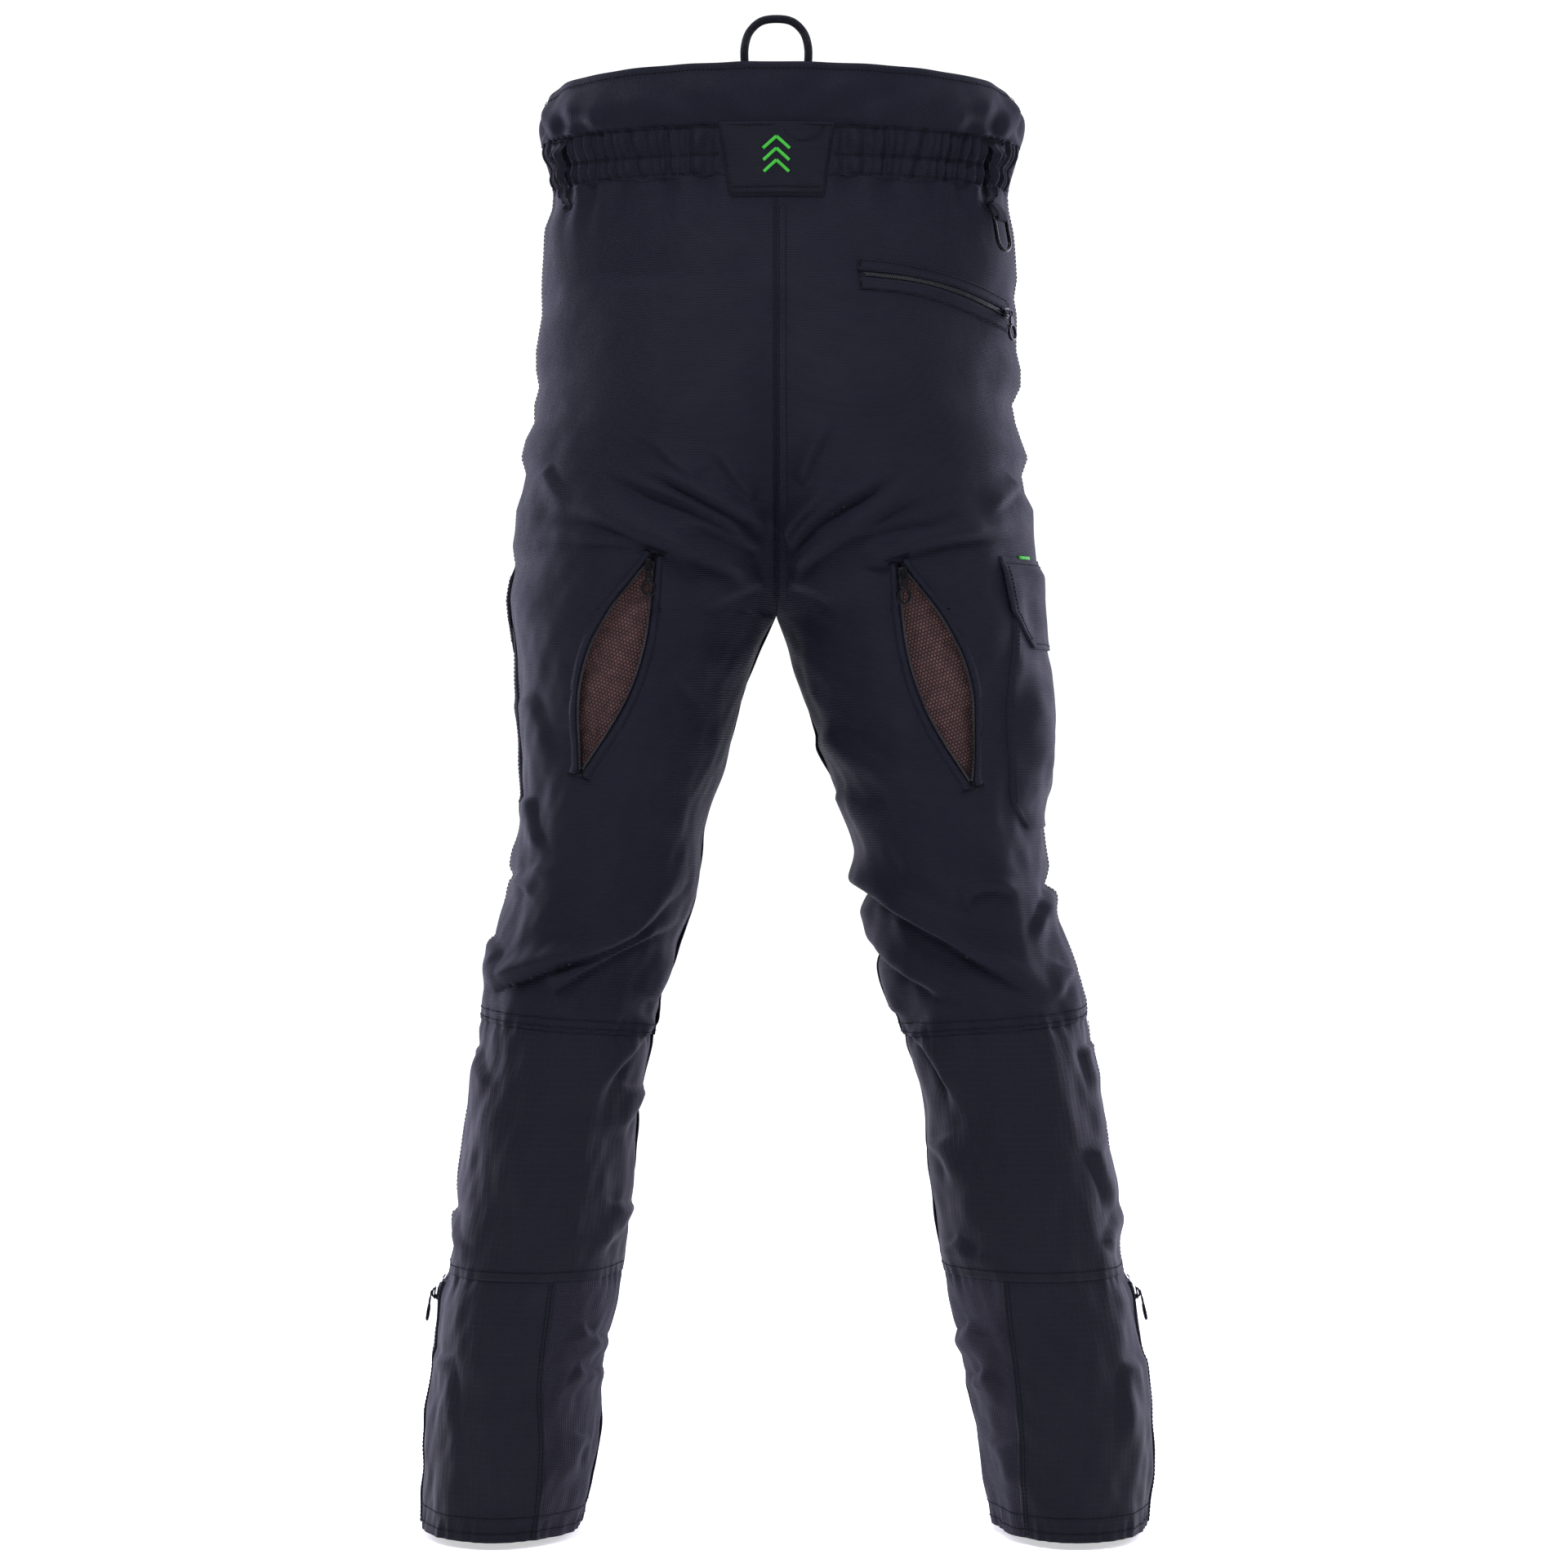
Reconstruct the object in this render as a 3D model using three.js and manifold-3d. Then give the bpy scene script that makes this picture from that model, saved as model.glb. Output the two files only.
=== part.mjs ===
// Chainsaw-protection trousers, open and standing as worn.
// +Z is up, the back faces -Y and the wearer's right is +X. The origin is the middle of the waist,
// level with the top stitch of the back elastic. All sizes are in millimetres.
import * as THREE from "three";
import { mergeVertices } from "three/addons/utils/BufferGeometryUtils.js";
import Module from "manifold-3d";

const wasm = await Module();
wasm.setup();

// Overall sizes
const WAIST_WIDTH = 380; // across the waist, as worn
const CROTCH = -379; // height of the crotch
const INSEAM = 736; // from the crotch to the hem
const KNEE_SHARE = 0.44; // of the inseam, down to the knee seam
const KNEE_SLOPE = 16; // how much lower the knee seam is at the inner leg
const CALF_SHARE = 0.719; // of the inseam, down to the calf hem

const GIRTH = WAIST_WIDTH / 380; // what is measured across the body follows the waist

// Cloth
const CLOTH = 2.4; // lined panel
const TRIM = 1.4; // one folded layer of trim
const SEAM_GAP = 0.4; // between neighbouring panels
const ON_TOP = 0.8; // under a piece that is sewn on
const SEWN = 0.5; // under the sewn end of a strap or a flap
const PAD = 7; // cut-protection pad
const PAD_GAP = 2.2; // between the pad and the front panel

// Waist
const ELASTIC_TOP = 4;
const WAIST_SEAM = -35;
const YOKE_TOP = 53; // at the middle of the back
const YOKE_SIDE = 46;
const BAND_TOP = 28; // at the middle of the front
const PATCH_TOP = 46; // half width of the back patch at its top
const PATCH_FOOT = 37.5;
const PATCH_DROP = 58; // its height
const LOOP_WIDTH = 10.5; // belt loop
const LOOP_HEIGHT = 56;
const LOOP_ROOM = 8; // room for the belt
const LOOP_ANGLES = { back: 0.46, front: -0.8 };
const HANGER = { diameter: 6.5, span: 50, rise: 36, buried: 12 };
const RING = { width: 20, height: 30, wire: 3.2, drop: 66, angle: 0.43, lift: 6 };

// Thigh vents: the slider stands at the top of the open zip
const VENT_TOP = { left: [97 * GIRTH, -339], right: [97 * GIRTH, -345] };
const VENT_FOOT = { left: [154 * GIRTH, -502], right: [153 * GIRTH, -511] };
const VENT_BOW = 4; // how far the middle of the vent bows outwards
const VENT_OPEN = 20; // half of the widest opening
const VENT_SHUT = 0.5; // half of the gap at the two ends
const LIP = 8; // folded edge beside the zip

// Rear pocket, on the right
const POCKET_ENDS = [[67 * GIRTH, -115], [184 * GIRTH, -138]]; // its zip, from the inner to the outer end
const POCKET_BEND = -5; // how far the zip sags at its middle
const WELT = 10;
const POCKET_ZIP = 5; // width of the closed chain
const POCKET_BAG = 150;
const POCKET_RISE = 1.6; // its slider's arc stands this much further off the hip

// Zip sliders and pulls
const CHAIN = 1.6;
const SLIDER = { width: 8, length: 11, height: 2.6 };
const PULL = { width: 5, length: 24, thick: 1.6, hole: 1.3 };
const RUN_ROOM = 0.6; // between a slider and what it runs over

// Cargo pockets on the sides: angles round the leg, heights
const CARGO = {
  left: { from: -1.35, to: -0.05 },
  right: { from: -0.85, to: 0.72 },
};
const CARGO_TOP = -345;
const CARGO_DROP = 205;
const CARGO_ROOM = 9; // inside depth
const FLAP_TOP = -334;
const FLAP_DROP = 72;
const FLAP_LAP = 4; // past each side of the pocket

// Leg ends
const GAITER_SEAM = { left: [1.87, 2.1], right: [2.0, 2.3] }; // angle at its top and its hem
const ANKLE = { top: 14, foot: 6, tape: 7, spread: 5 }; // side zip, from the calf hem to above the hem

// Fly
const FLY = { foot: -196, width: 42, zip: 6, edge: 8 };
const BUTTON = { radius: 8.5, thick: 3 };

// Rough radii, which turn small widths into angles round the body
const RADIUS = { waist: 130, thigh: 100, ankle: 85 };

const KNEE = CROTCH - KNEE_SHARE * INSEAM;
const CALF_HEM = CROTCH - CALF_SHARE * INSEAM;
const HEM = CROTCH - INSEAM;
const PAD_TOP = CROTCH - 12;
const PAD_FOOT = CALF_HEM + 25;
const SIGN = { left: -1, right: 1 };
const SIDES = ["left", "right"];

// Height, how far the side stands beyond half the waist, and how far the halves have parted
const TORSO = [
  [75, -14, 0], [50, -4, 0], [25, 8, 0], [0, 4, 0], [-35, -3, 0], [-70, 3, 0],
  [-148, 7, 0], [-228, 13, 0.36], [-300, 19, 0.665], [-350, 22, 0.88], [CROTCH, 23, 1],
];
// Share of the inseam, then the outer and the inner side of the leg
const LEGS = {
  left: [
    [0.067, 211, 23], [0.147, 208, 39], [0.228, 209, 57], [0.31, 220, 67], [0.391, 238, 88],
    [0.446, 242, 97], [0.527, 251, 110], [0.609, 259, 116], [0.689, 263, 122], [0.743, 274, 127],
    [0.825, 279, 142], [0.906, 287, 144], [1, 290, 158],
  ],
  right: [
    [0.067, 216, 17], [0.147, 216, 38], [0.228, 217, 58], [0.31, 225, 74], [0.391, 245, 87],
    [0.446, 254, 100], [0.527, 264, 118], [0.609, 273, 124], [0.689, 281, 132], [0.743, 289, 140],
    [0.825, 301, 152], [0.906, 307, 164], [1, 303, 177],
  ],
};
// Height, how deep the back and the front are, and how far forward the middle is
const DEPTHS = [
  [75, 100, 98, 0], [50, 108, 102, 0], [25, 112, 104, 0], [0, 108, 104, 0], [-35, 106, 104, 0],
  [-70, 112, 104, 0], [-148, 126, 104, 0], [-228, 132, 104, 0], [-300, 130, 104, 0],
  [CROTCH, 120, 104, 0], ...[
    [0.067, 112, 104, 2], [0.228, 98, 96, 8], [0.391, 86, 88, 12], [0.446, 82, 86, 12],
    [0.609, 84, 76, 2], [0.743, 84, 80, -2], [0.906, 86, 86, 0], [1, 88, 92, 4],
  ].map(([share, ...rest]) => [CROTCH - share * INSEAM, ...rest]),
];

const WIDTHS = Object.fromEntries(SIDES.map((side) => [side, [
  ...TORSO.map(([z, more, split]) => {
    const outer = WAIST_WIDTH / 2 + more;
    return [z, outer, -outer * (1 - split)];
  }),
  ...LEGS[side].map(([share, outer, inner]) =>
    [CROTCH - share * INSEAM, outer * GIRTH, inner * GIRTH]),
]]));

const mix = THREE.MathUtils.lerp;

// The table's columns at a height, on a smooth curve through its rows.
function smooth(table, z) {
  const last = table.length - 1;
  let i = 0;
  while (i < last - 1 && table[i + 1][0] > z) i += 1;
  const slope = (k, column) => {
    const a = table[Math.max(k - 1, 0)];
    const b = table[Math.min(k + 1, last)];
    return (b[column] - a[column]) / (b[0] - a[0]);
  };
  const step = table[i + 1][0] - table[i][0];
  const t = THREE.MathUtils.clamp((z - table[i][0]) / step, 0, 1);
  return table[i].slice(1).map((value, n) => {
    const column = n + 1;
    const rise = table[i + 1][column] - value;
    const bend = t * (1 - t);
    return value + rise * t * t * (3 - 2 * t) +
      step * bend * ((1 - t) * slope(i, column) - t * slope(i + 1, column));
  });
}

// The outline of half the trousers at a height: an ellipse whose centre moves out into the leg.
function outline(side, z) {
  const [outer, inner] = smooth(WIDTHS[side], z);
  const [back, front, middle] = smooth(DEPTHS, z);
  return { centre: (outer + inner) / 2, half: (outer - inner) / 2, back, front, middle };
}

// A point of the cloth. The angle is 0 at the outer side and grows towards the back.
function skin(side, angle, z) {
  const { centre, half, back, front, middle } = outline(side, z);
  const depth = angle > 0 ? back : front;
  return new THREE.Vector3(
    SIGN[side] * (centre + half * Math.cos(angle)),
    middle - depth * Math.sin(angle),
    z,
  );
}

function outward(side, angle, z) {
  const round = skin(side, angle + 0.01, z).sub(skin(side, angle - 0.01, z));
  const up = skin(side, angle, z + 1).sub(skin(side, angle, z - 1));
  return round.cross(up).normalize().multiplyScalar(-SIGN[side]);
}

const lifted = (side, angle, z, lift) =>
  skin(side, angle, z).addScaledVector(outward(side, angle, z), lift);

// The angle at which a panel ends: at the middle of the body, or at the inner leg below the crotch.
function seamAngle(side, z) {
  const { centre, half, front } = outline(side, z);
  const middle = Math.acos(Math.max((SEAM_GAP / 2 - centre) / half, -1));
  return Math.min(middle, Math.PI - SEAM_GAP / 2 / front);
}

const sideAngle = SEAM_GAP / 2 / RADIUS.thigh;

// The angle of the back's point at a distance from the middle of the body.
function angleAt(side, x, z) {
  const { centre, half } = outline(side, z);
  return Math.acos(THREE.MathUtils.clamp((x - centre) / half, -1, 1));
}

const geometryOf = (positions, index) => {
  const made = new THREE.BufferGeometry();
  made.setAttribute("position", new THREE.Float32BufferAttribute(positions, 3));
  made.setIndex(index);
  return made;
};

function toSolid(geometry) {
  const bare = geometry.clone();
  bare.deleteAttribute("normal");
  bare.deleteAttribute("uv");
  const merged = mergeVertices(bare, 1e-3);
  const made = new wasm.Mesh({
    numProp: 3,
    vertProperties: new Float32Array(merged.attributes.position.array),
    triVerts: new Uint32Array(merged.index.array),
  });
  return new wasm.Manifold(made);
}

function fromSolid(solid) {
  const { vertProperties, triVerts } = solid.getMesh();
  return geometryOf(Array.from(vertProperties), Array.from(triVerts));
}

const joined = (first, ...rest) =>
  fromSolid(rest.reduce((all, next) => all.add(toSolid(next)), toSolid(first)));

const without = (whole, ...cuts) =>
  fromSolid(cuts.reduce((left, cut) => left.subtract(toSolid(cut)), toSolid(whole)));

// A closed plate over a grid: point(s, t, face) gives its outer (face 1) and inner (face 0) corners.
function plate(across, down, point) {
  const positions = [];
  const row = across + 1;
  const layer = row * (down + 1);
  for (const face of [1, 0]) {
    for (let j = 0; j <= down; j += 1) {
      for (let i = 0; i <= across; i += 1) {
        positions.push(...point(i / across, j / down, face).toArray());
      }
    }
  }
  const index = [];
  const quad = (a, b, c, d) => index.push(a, b, c, a, c, d);
  for (let j = 0; j < down; j += 1) {
    for (let i = 0; i < across; i += 1) {
      const a = j * row + i;
      quad(a, a + row, a + row + 1, a + 1);
      quad(a + layer, a + 1 + layer, a + row + 1 + layer, a + row + layer);
    }
  }
  for (let i = 0; i < across; i += 1) {
    const a = i;
    const b = down * row + i;
    quad(a, a + 1, a + 1 + layer, a + layer);
    quad(b, b + layer, b + 1 + layer, b + 1);
  }
  for (let j = 0; j < down; j += 1) {
    const a = j * row;
    const b = a + across;
    quad(a, a + layer, a + row + layer, a + row);
    quad(b, b + row, b + row + layer, b + layer);
  }
  const made = geometryOf(positions, index);
  return toSolid(made).volume() < 0
    ? geometryOf(positions, index.reverse())
    : made;
}

// A panel of cloth: spot(s, t) gives an angle and a height, low and high its two faces' lifts.
function panel(side, spot, across, down, low, high) {
  const lift = (value, s, t) => (typeof value === "function" ? value(t, s) : value);
  return plate(across, down, (s, t, face) => {
    const [angle, z] = spot(s, t);
    return lifted(side, angle, z, lift(face ? high : low, s, t));
  });
}

// A panel between two lines on the cloth, each a function of t that gives an angle and a height.
const strip = (side, lineA, lineB, across, down, low, high) =>
  panel(side, (s, t) => {
    const a = lineA(t);
    const b = lineB(t);
    return [mix(a[0], b[0], s), mix(a[1], b[1], s)];
  }, across, down, low, high);

// Evenly spaced heights in each stretch between the given ones.
function rows(heights, step) {
  const made = [heights[0]];
  heights.slice(1).forEach((foot, n) => {
    const top = heights[n];
    const count = Math.max(1, Math.round((top - foot) / step));
    for (let k = 1; k <= count; k += 1) made.push(mix(top, foot, k / count));
  });
  return made;
}

// A frame that stands on the cloth: X across, Y along the given direction, Z outwards.
function standing(side, angle, z, along, lift) {
  const out = outward(side, angle, z);
  const y = along.clone().addScaledVector(out, -along.dot(out)).normalize();
  const x = y.clone().cross(out);
  return new THREE.Matrix4().makeBasis(x, y, out)
    .setPosition(lifted(side, angle, z, lift));
}

const group = new THREE.Group();
group.userData.runs = {}; // where the moving pieces turn and slide

function add(name, geometry, look) {
  const material = new THREE.MeshStandardMaterial(look);
  const mesh = new THREE.Mesh(geometry, material);
  mesh.name = name;
  group.add(mesh);
  return mesh;
}

const cloth = { color: 0x22232e, roughness: 0.85, metalness: 0 };
const ripstop = { color: 0x24252d, roughness: 0.8, metalness: 0 };
const stretch = { color: 0x2a2933, roughness: 0.9, metalness: 0 };
const netting = { color: 0x26222a, roughness: 0.8, metalness: 0 };
const padding = { color: 0xc9c3b4, roughness: 0.95, metalness: 0 };
const plastic = { color: 0x17181c, roughness: 0.45, metalness: 0 };
const metal = { color: 0x1b1c20, roughness: 0.35, metalness: 0.7 };

// The two long panels of each leg, behind and in front
const KNEE_ROOM = 45; // no row of points so near the sloping knee seam
const longRows = rows([WAIST_SEAM - SEAM_GAP, CROTCH + 26, CROTCH, KNEE], 42)
  .filter((z) => z > KNEE + KNEE_ROOM);

// Below the knee seam the panels slope with it.
function sloped(side, facing, top, foot, across, down, low, high) {
  return panel(side, (s, t) => {
    const z = mix(top(s), foot(s), t);
    return [facing * mix(sideAngle, seamAngle(side, z), s), z];
  }, across, down, low, high);
}

const kneeAt = (s) => KNEE - KNEE_SLOPE * s;

function longPanel(side, facing, across) {
  const down = longRows.length;
  return panel(side, (s, t) => {
    const k = Math.round(t * down);
    const z = k < down ? longRows[k] : kneeAt(s) + SEAM_GAP;
    return [facing * mix(sideAngle, seamAngle(side, z), s), z];
  }, across, down, -CLOTH, 0);
}

// A vent's line beside its middle, at an offset across it; t runs down past both its ends.
function ventMiddle(side, t) {
  const [x0, z0] = VENT_TOP[side];
  const [x1, z1] = VENT_FOOT[side];
  const inside = THREE.MathUtils.clamp(t, 0, 1);
  return [mix(x0, x1, t) + VENT_BOW * Math.sin(Math.PI * inside), mix(z0, z1, t)];
}

function ventLine(side, offset) {
  const [x0, z0] = VENT_TOP[side];
  const [x1, z1] = VENT_FOOT[side];
  const long = Math.hypot(x1 - x0, z1 - z0);
  const across = [(z0 - z1) / long, (x1 - x0) / long];
  return (t) => {
    const [x, z] = ventMiddle(side, t);
    const d = offset(t);
    const px = x + across[0] * d;
    const pz = z + across[1] * d;
    return [angleAt(side, px, pz), pz];
  };
}

const opening = (t) =>
  VENT_SHUT + (VENT_OPEN - VENT_SHUT) * Math.sin(Math.PI * THREE.MathUtils.clamp(t, 0, 1));

const VENT_STEPS = 12;
const VENT_ENDS = [-0.05, 1.05];

function ventStrip(side, from, to, across, low, high, cut = 0) {
  const ends = [VENT_ENDS[0] - cut, VENT_ENDS[1] + cut];
  const run = (offset) => {
    const line = ventLine(side, offset);
    return (t) => line(mix(...ends, t));
  };
  return strip(side, run(from), run(to), across, VENT_STEPS, low, high);
}

const ventHole = (side) => {
  const wide = (t) => opening(t) + LIP + 2 * SEAM_GAP;
  return ventStrip(side, (t) => -wide(t), wide, 4, -15, 15, 0.004);
};

// The rear pocket's zip line and its slot through the back panel
function pocketLine(drop) {
  const [[x0, z0], [x1, z1]] = POCKET_ENDS;
  return (t) => {
    const x = mix(x0, x1, t);
    const z = mix(z0, z1, t) - POCKET_BEND * Math.sin(Math.PI * t) - drop;
    return [angleAt("right", x, z), z];
  };
}

const pocketSlot = strip("right", (t) => pocketLine(-1.5)(mix(0.03, 0.97, t)),
  (t) => pocketLine(1.5)(mix(0.03, 0.97, t)), 1, 10, -12, 12);

for (const side of SIDES) {
  const whole = longPanel(side, 1, 11);
  const cuts = side === "right" ? [ventHole(side), pocketSlot] : [ventHole(side)];
  add(`back_panel_${side}`, without(whole, ...cuts), cloth);
  add(`front_panel_${side}`, longPanel(side, -1, 9), cloth);
  const [calfTop, calfFoot] = [(s) => kneeAt(s) - SEAM_GAP, () => CALF_HEM + SEAM_GAP];
  add(`calf_panel_${side}`, sloped(side, 1, calfTop, calfFoot, 8, 5, -CLOTH, 0), ripstop);
  add(`shin_panel_${side}`, sloped(side, -1, calfTop, calfFoot, 8, 5, -CLOTH, 0), ripstop);
}

// Cut-protection pads behind the front panels
for (const side of SIDES) {
  const heights = [PAD_TOP, ...longRows.filter((z) => z < PAD_TOP), ...rows([KNEE, PAD_FOOT], 42)];
  const down = heights.length - 1;
  const low = -CLOTH - PAD_GAP - PAD;
  add(`protection_pad_${side}`, panel(side, (s, t) => {
    const z = heights[Math.round(t * down)];
    return [-mix(0.35, Math.min(seamAngle(side, z) - 0.06, 2.7), s), z];
  }, 7, down, low, low + PAD), padding);
}

// Gaiters: woven behind, stretch knit at the inner back, woven in front
const ankleTop = CALF_HEM - ANKLE.top;
const ankleFoot = HEM + ANKLE.foot;
const ankleHalf = (z) => {
  const share = THREE.MathUtils.clamp((ankleTop - z) / (ankleTop - ankleFoot), 0, 1);
  return (1.2 + ANKLE.spread * share) / RADIUS.ankle; // half of the open zip, as an angle
};
const tapeAngle = ANKLE.tape / RADIUS.ankle;
const gaiterEdge = (z) => ankleHalf(z) + tapeAngle + SEAM_GAP / RADIUS.ankle;

for (const side of SIDES) {
  const top = CALF_HEM - SEAM_GAP;
  const [seamTop, seamFoot] = GAITER_SEAM[side];
  const seam = (z) => mix(seamTop, seamFoot, (top - z) / (top - HEM));
  const piece = (from, to, across) => panel(side, (s, t) => {
    const z = mix(top, HEM, t);
    return [mix(from(z), to(z), s), z];
  }, across, 6, -CLOTH, 0);
  const gap = SEAM_GAP / RADIUS.ankle;
  add(`gaiter_back_${side}`, piece(gaiterEdge, (z) => seam(z) - gap / 2, 6), ripstop);
  add(`gaiter_stretch_${side}`,
    piece((z) => seam(z) + gap / 2, (z) => seamAngle(side, z), 4), stretch);
  add(`gaiter_front_${side}`,
    piece((z) => -gaiterEdge(z), (z) => -seamAngle(side, z), 8), ripstop);
}

// Waist: yoke, elastic, patch and front band. The halves aren't parted here, so one side's
// angles run right across the back and the front.
const backAngle = (x, z) => angleAt("right", x, z);
const patchHalf = (z) => mix(PATCH_TOP, PATCH_FOOT,
  THREE.MathUtils.clamp((ELASTIC_TOP + 2 - z) / PATCH_DROP, 0, 1));

add("back_yoke", panel("right", (s, t) => {
  const angle = mix(sideAngle, Math.PI - sideAngle, s);
  const top = mix(YOKE_SIDE, YOKE_TOP, Math.sin(angle));
  return [angle, mix(top, ELASTIC_TOP + SEAM_GAP, t)];
}, 20, 3, -CLOTH, 0), cloth);

for (const side of SIDES) {
  add(`waist_elastic_${side}`, panel(side, (s, t) => {
    const z = mix(ELASTIC_TOP, WAIST_SEAM, t);
    const inner = angleAt(side, patchHalf(z) + SEAM_GAP, z);
    return [mix(sideAngle, inner, s), z];
  }, 8, 3, -CLOTH, 0), cloth);
}

// The patch lies over the elastic's middle and the seam below it.
add("back_patch", panel("right", (s, t) => {
  const z = mix(ELASTIC_TOP + 2, ELASTIC_TOP + 2 - PATCH_DROP, t);
  const half = patchHalf(z);
  return [mix(backAngle(half, z), backAngle(-half, z), s), z];
}, 6, 5, ON_TOP, ON_TOP + TRIM), cloth);

add("front_waistband", panel("right", (s, t) => {
  const angle = -mix(sideAngle, Math.PI - sideAngle, s);
  const top = mix(YOKE_SIDE, BAND_TOP, Math.sin(-angle));
  return [angle, mix(top, WAIST_SEAM, t)];
}, 18, 4, -CLOTH, 0), cloth);

// Hanging loop: a cord whose two ends are sewn inside the yoke
function hangerCurve() {
  const { span, rise, buried, diameter } = HANGER;
  const back = skin("right", Math.PI / 2, YOKE_TOP).y + CLOTH + diameter / 2 + 2;
  const half = span / 2;
  const lean = 4;
  return new THREE.CatmullRomCurve3([
    [-half, 0, -buried], [-half, 0, 0], [-half, 0, rise * 0.35], [-half * 0.86, lean, rise * 0.7],
    [-half * 0.5, lean, rise * 0.94], [0, lean, rise], [half * 0.5, lean, rise * 0.94],
    [half * 0.86, lean, rise * 0.7], [half, 0, rise * 0.35], [half, 0, 0], [half, 0, -buried],
  ].map(([x, y, z]) => new THREE.Vector3(x, back + y, YOKE_TOP + z)));
}

const round = new THREE.Shape().absarc(0, 0, HANGER.diameter / 2, 0, 2 * Math.PI);
add("hanging_loop", new THREE.ExtrudeGeometry(round,
  { steps: 20, curveSegments: 4, extrudePath: hangerCurve() }), cloth);

// Belt loops: straps that stand off the waist between their sewn ends
const loopLift = (t) => {
  const end = Math.min(t, 1 - t);
  return SEWN + LOOP_ROOM * THREE.MathUtils.smoothstep(end, 0.06, 0.2);
};

for (const side of SIDES) {
  for (const [facing, angle] of Object.entries(LOOP_ANGLES)) {
    const half = LOOP_WIDTH / 2 / RADIUS.waist;
    add(`belt_loop_${facing}_${side}`, panel(side, (s, t) => {
      const z = ELASTIC_TOP - 2 - LOOP_HEIGHT * t;
      return [angle + mix(-half, half, s), z];
    }, 1, 12, loopLift, (t) => loopLift(t) + TRIM), cloth);
  }
}

// D-ring on its tab, below the right back belt loop
const ringTop = ELASTIC_TOP - RING.drop;
const DOWN = new THREE.Vector3(0, 0, -1);
const ringPlace = standing("right", RING.angle, ringTop, DOWN, RING.lift);

function ringGeometry() {
  const { width, height, wire } = RING;
  const outer = new THREE.Shape();
  const bend = width / 2;
  outer.moveTo(-bend, 0).lineTo(bend, 0).lineTo(bend, height - bend)
    .absarc(0, height - bend, bend, 0, Math.PI).lineTo(-bend, 0);
  const r = bend - wire;
  const hole = new THREE.Path();
  hole.moveTo(-r, wire).lineTo(r, wire).lineTo(r, height - bend)
    .absarc(0, height - bend, r, 0, Math.PI).lineTo(-r, wire);
  outer.holes.push(hole);
  return new THREE.ExtrudeGeometry(outer, { depth: wire, bevelEnabled: false, curveSegments: 6 })
    .translate(0, -wire / 2, -wire / 2);
}

add("d_ring", ringGeometry(), metal).applyMatrix4(ringPlace);
group.userData.runs.d_ring = {
  pivot: new THREE.Vector3().setFromMatrixPosition(ringPlace).toArray(),
  axis: new THREE.Vector3().setFromMatrixColumn(ringPlace, 0).toArray(),
};

// The tab is a folded tape: it goes down behind the ring's bar, round it and back up.
function tabGeometry() {
  const bar = RING.wire / 2 + 0.9;
  const thick = 1.2;
  const outer = bar + thick;
  const up = 6;
  const wall = RING.lift - ON_TOP; // from the ring's middle plane back to the cloth
  const shape = new THREE.Shape();
  shape.moveTo(-wall, -up).lineTo(outer, -up).lineTo(outer, 0)
    .absarc(0, 0, outer, 0, Math.PI / 2).lineTo(-wall, outer).lineTo(-wall, -up);
  const slot = new THREE.Path().absarc(0, 0, bar + 0.2, 0, 2 * Math.PI);
  shape.holes.push(slot);
  const width = RING.width - 2 * RING.wire - 1.5;
  return new THREE.ExtrudeGeometry(shape, { depth: width, bevelEnabled: false, curveSegments: 5 })
    .translate(0, 0, -width / 2)
    .applyMatrix4(new THREE.Matrix4().makeBasis(
      new THREE.Vector3(0, 0, 1), new THREE.Vector3(0, 1, 0), new THREE.Vector3(-1, 0, 0)));
}

add("d_ring_tab", tabGeometry(), cloth).applyMatrix4(ringPlace);

// Zip sliders and pulls
function sliderGeometry() {
  const { width, length, height } = SLIDER;
  const shape = new THREE.Shape();
  shape.moveTo(-width / 2, -length / 2).lineTo(width / 2, -length / 2)
    .lineTo(width / 2, length / 6).lineTo(width / 4, length / 2)
    .lineTo(-width / 4, length / 2).lineTo(-width / 2, length / 6);
  return new THREE.ExtrudeGeometry(shape, { depth: height, bevelEnabled: false });
}

function pullGeometry() {
  const { width, length, thick, hole } = PULL;
  const r = width / 2;
  const shape = new THREE.Shape();
  shape.moveTo(-r, 0).lineTo(r, 0).lineTo(r, length - r).absarc(0, length - r, r, 0, Math.PI);
  shape.holes.push(new THREE.Path().absarc(0, length - r, hole, 0, 2 * Math.PI));
  return new THREE.ExtrudeGeometry(shape, { depth: thick, bevelEnabled: false, curveSegments: 5 });
}

const SLIDER_LIFT = ON_TOP + CHAIN + RUN_ROOM;
const PULL_GAP = 0.3;

// A slider that runs along the cloth from the first to the last of three spots, and its pull.
function slider(name, ending, side, spots, { raised = 0, withPull = true } = {}) {
  const lift = SLIDER_LIFT + raised;
  const pullLift = lift + SLIDER.height + PULL_GAP;
  const places = spots.map(([angle, z]) => lifted(side, angle, z, lift));
  const along = places[2].clone().sub(places[0]);
  const [angle, z] = spots[0];
  add(`${name}_slider${ending}`, sliderGeometry(), metal)
    .applyMatrix4(standing(side, angle, z, along, lift));
  const run = { places: places.map((p) => p.toArray()) };
  group.userData.runs[name + ending] = run;
  if (!withPull) return;
  const hang = standing(side, angle, z, DOWN, pullLift);
  add(`${name}_pull${ending}`, pullGeometry(), metal).applyMatrix4(hang);
  const pivot = lifted(side, angle, z, pullLift + PULL.thick / 2);
  const axis = new THREE.Vector3().setFromMatrixColumn(hang, 0);
  run.pull = { pivot: pivot.toArray(), axis: axis.toArray() };
}

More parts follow.
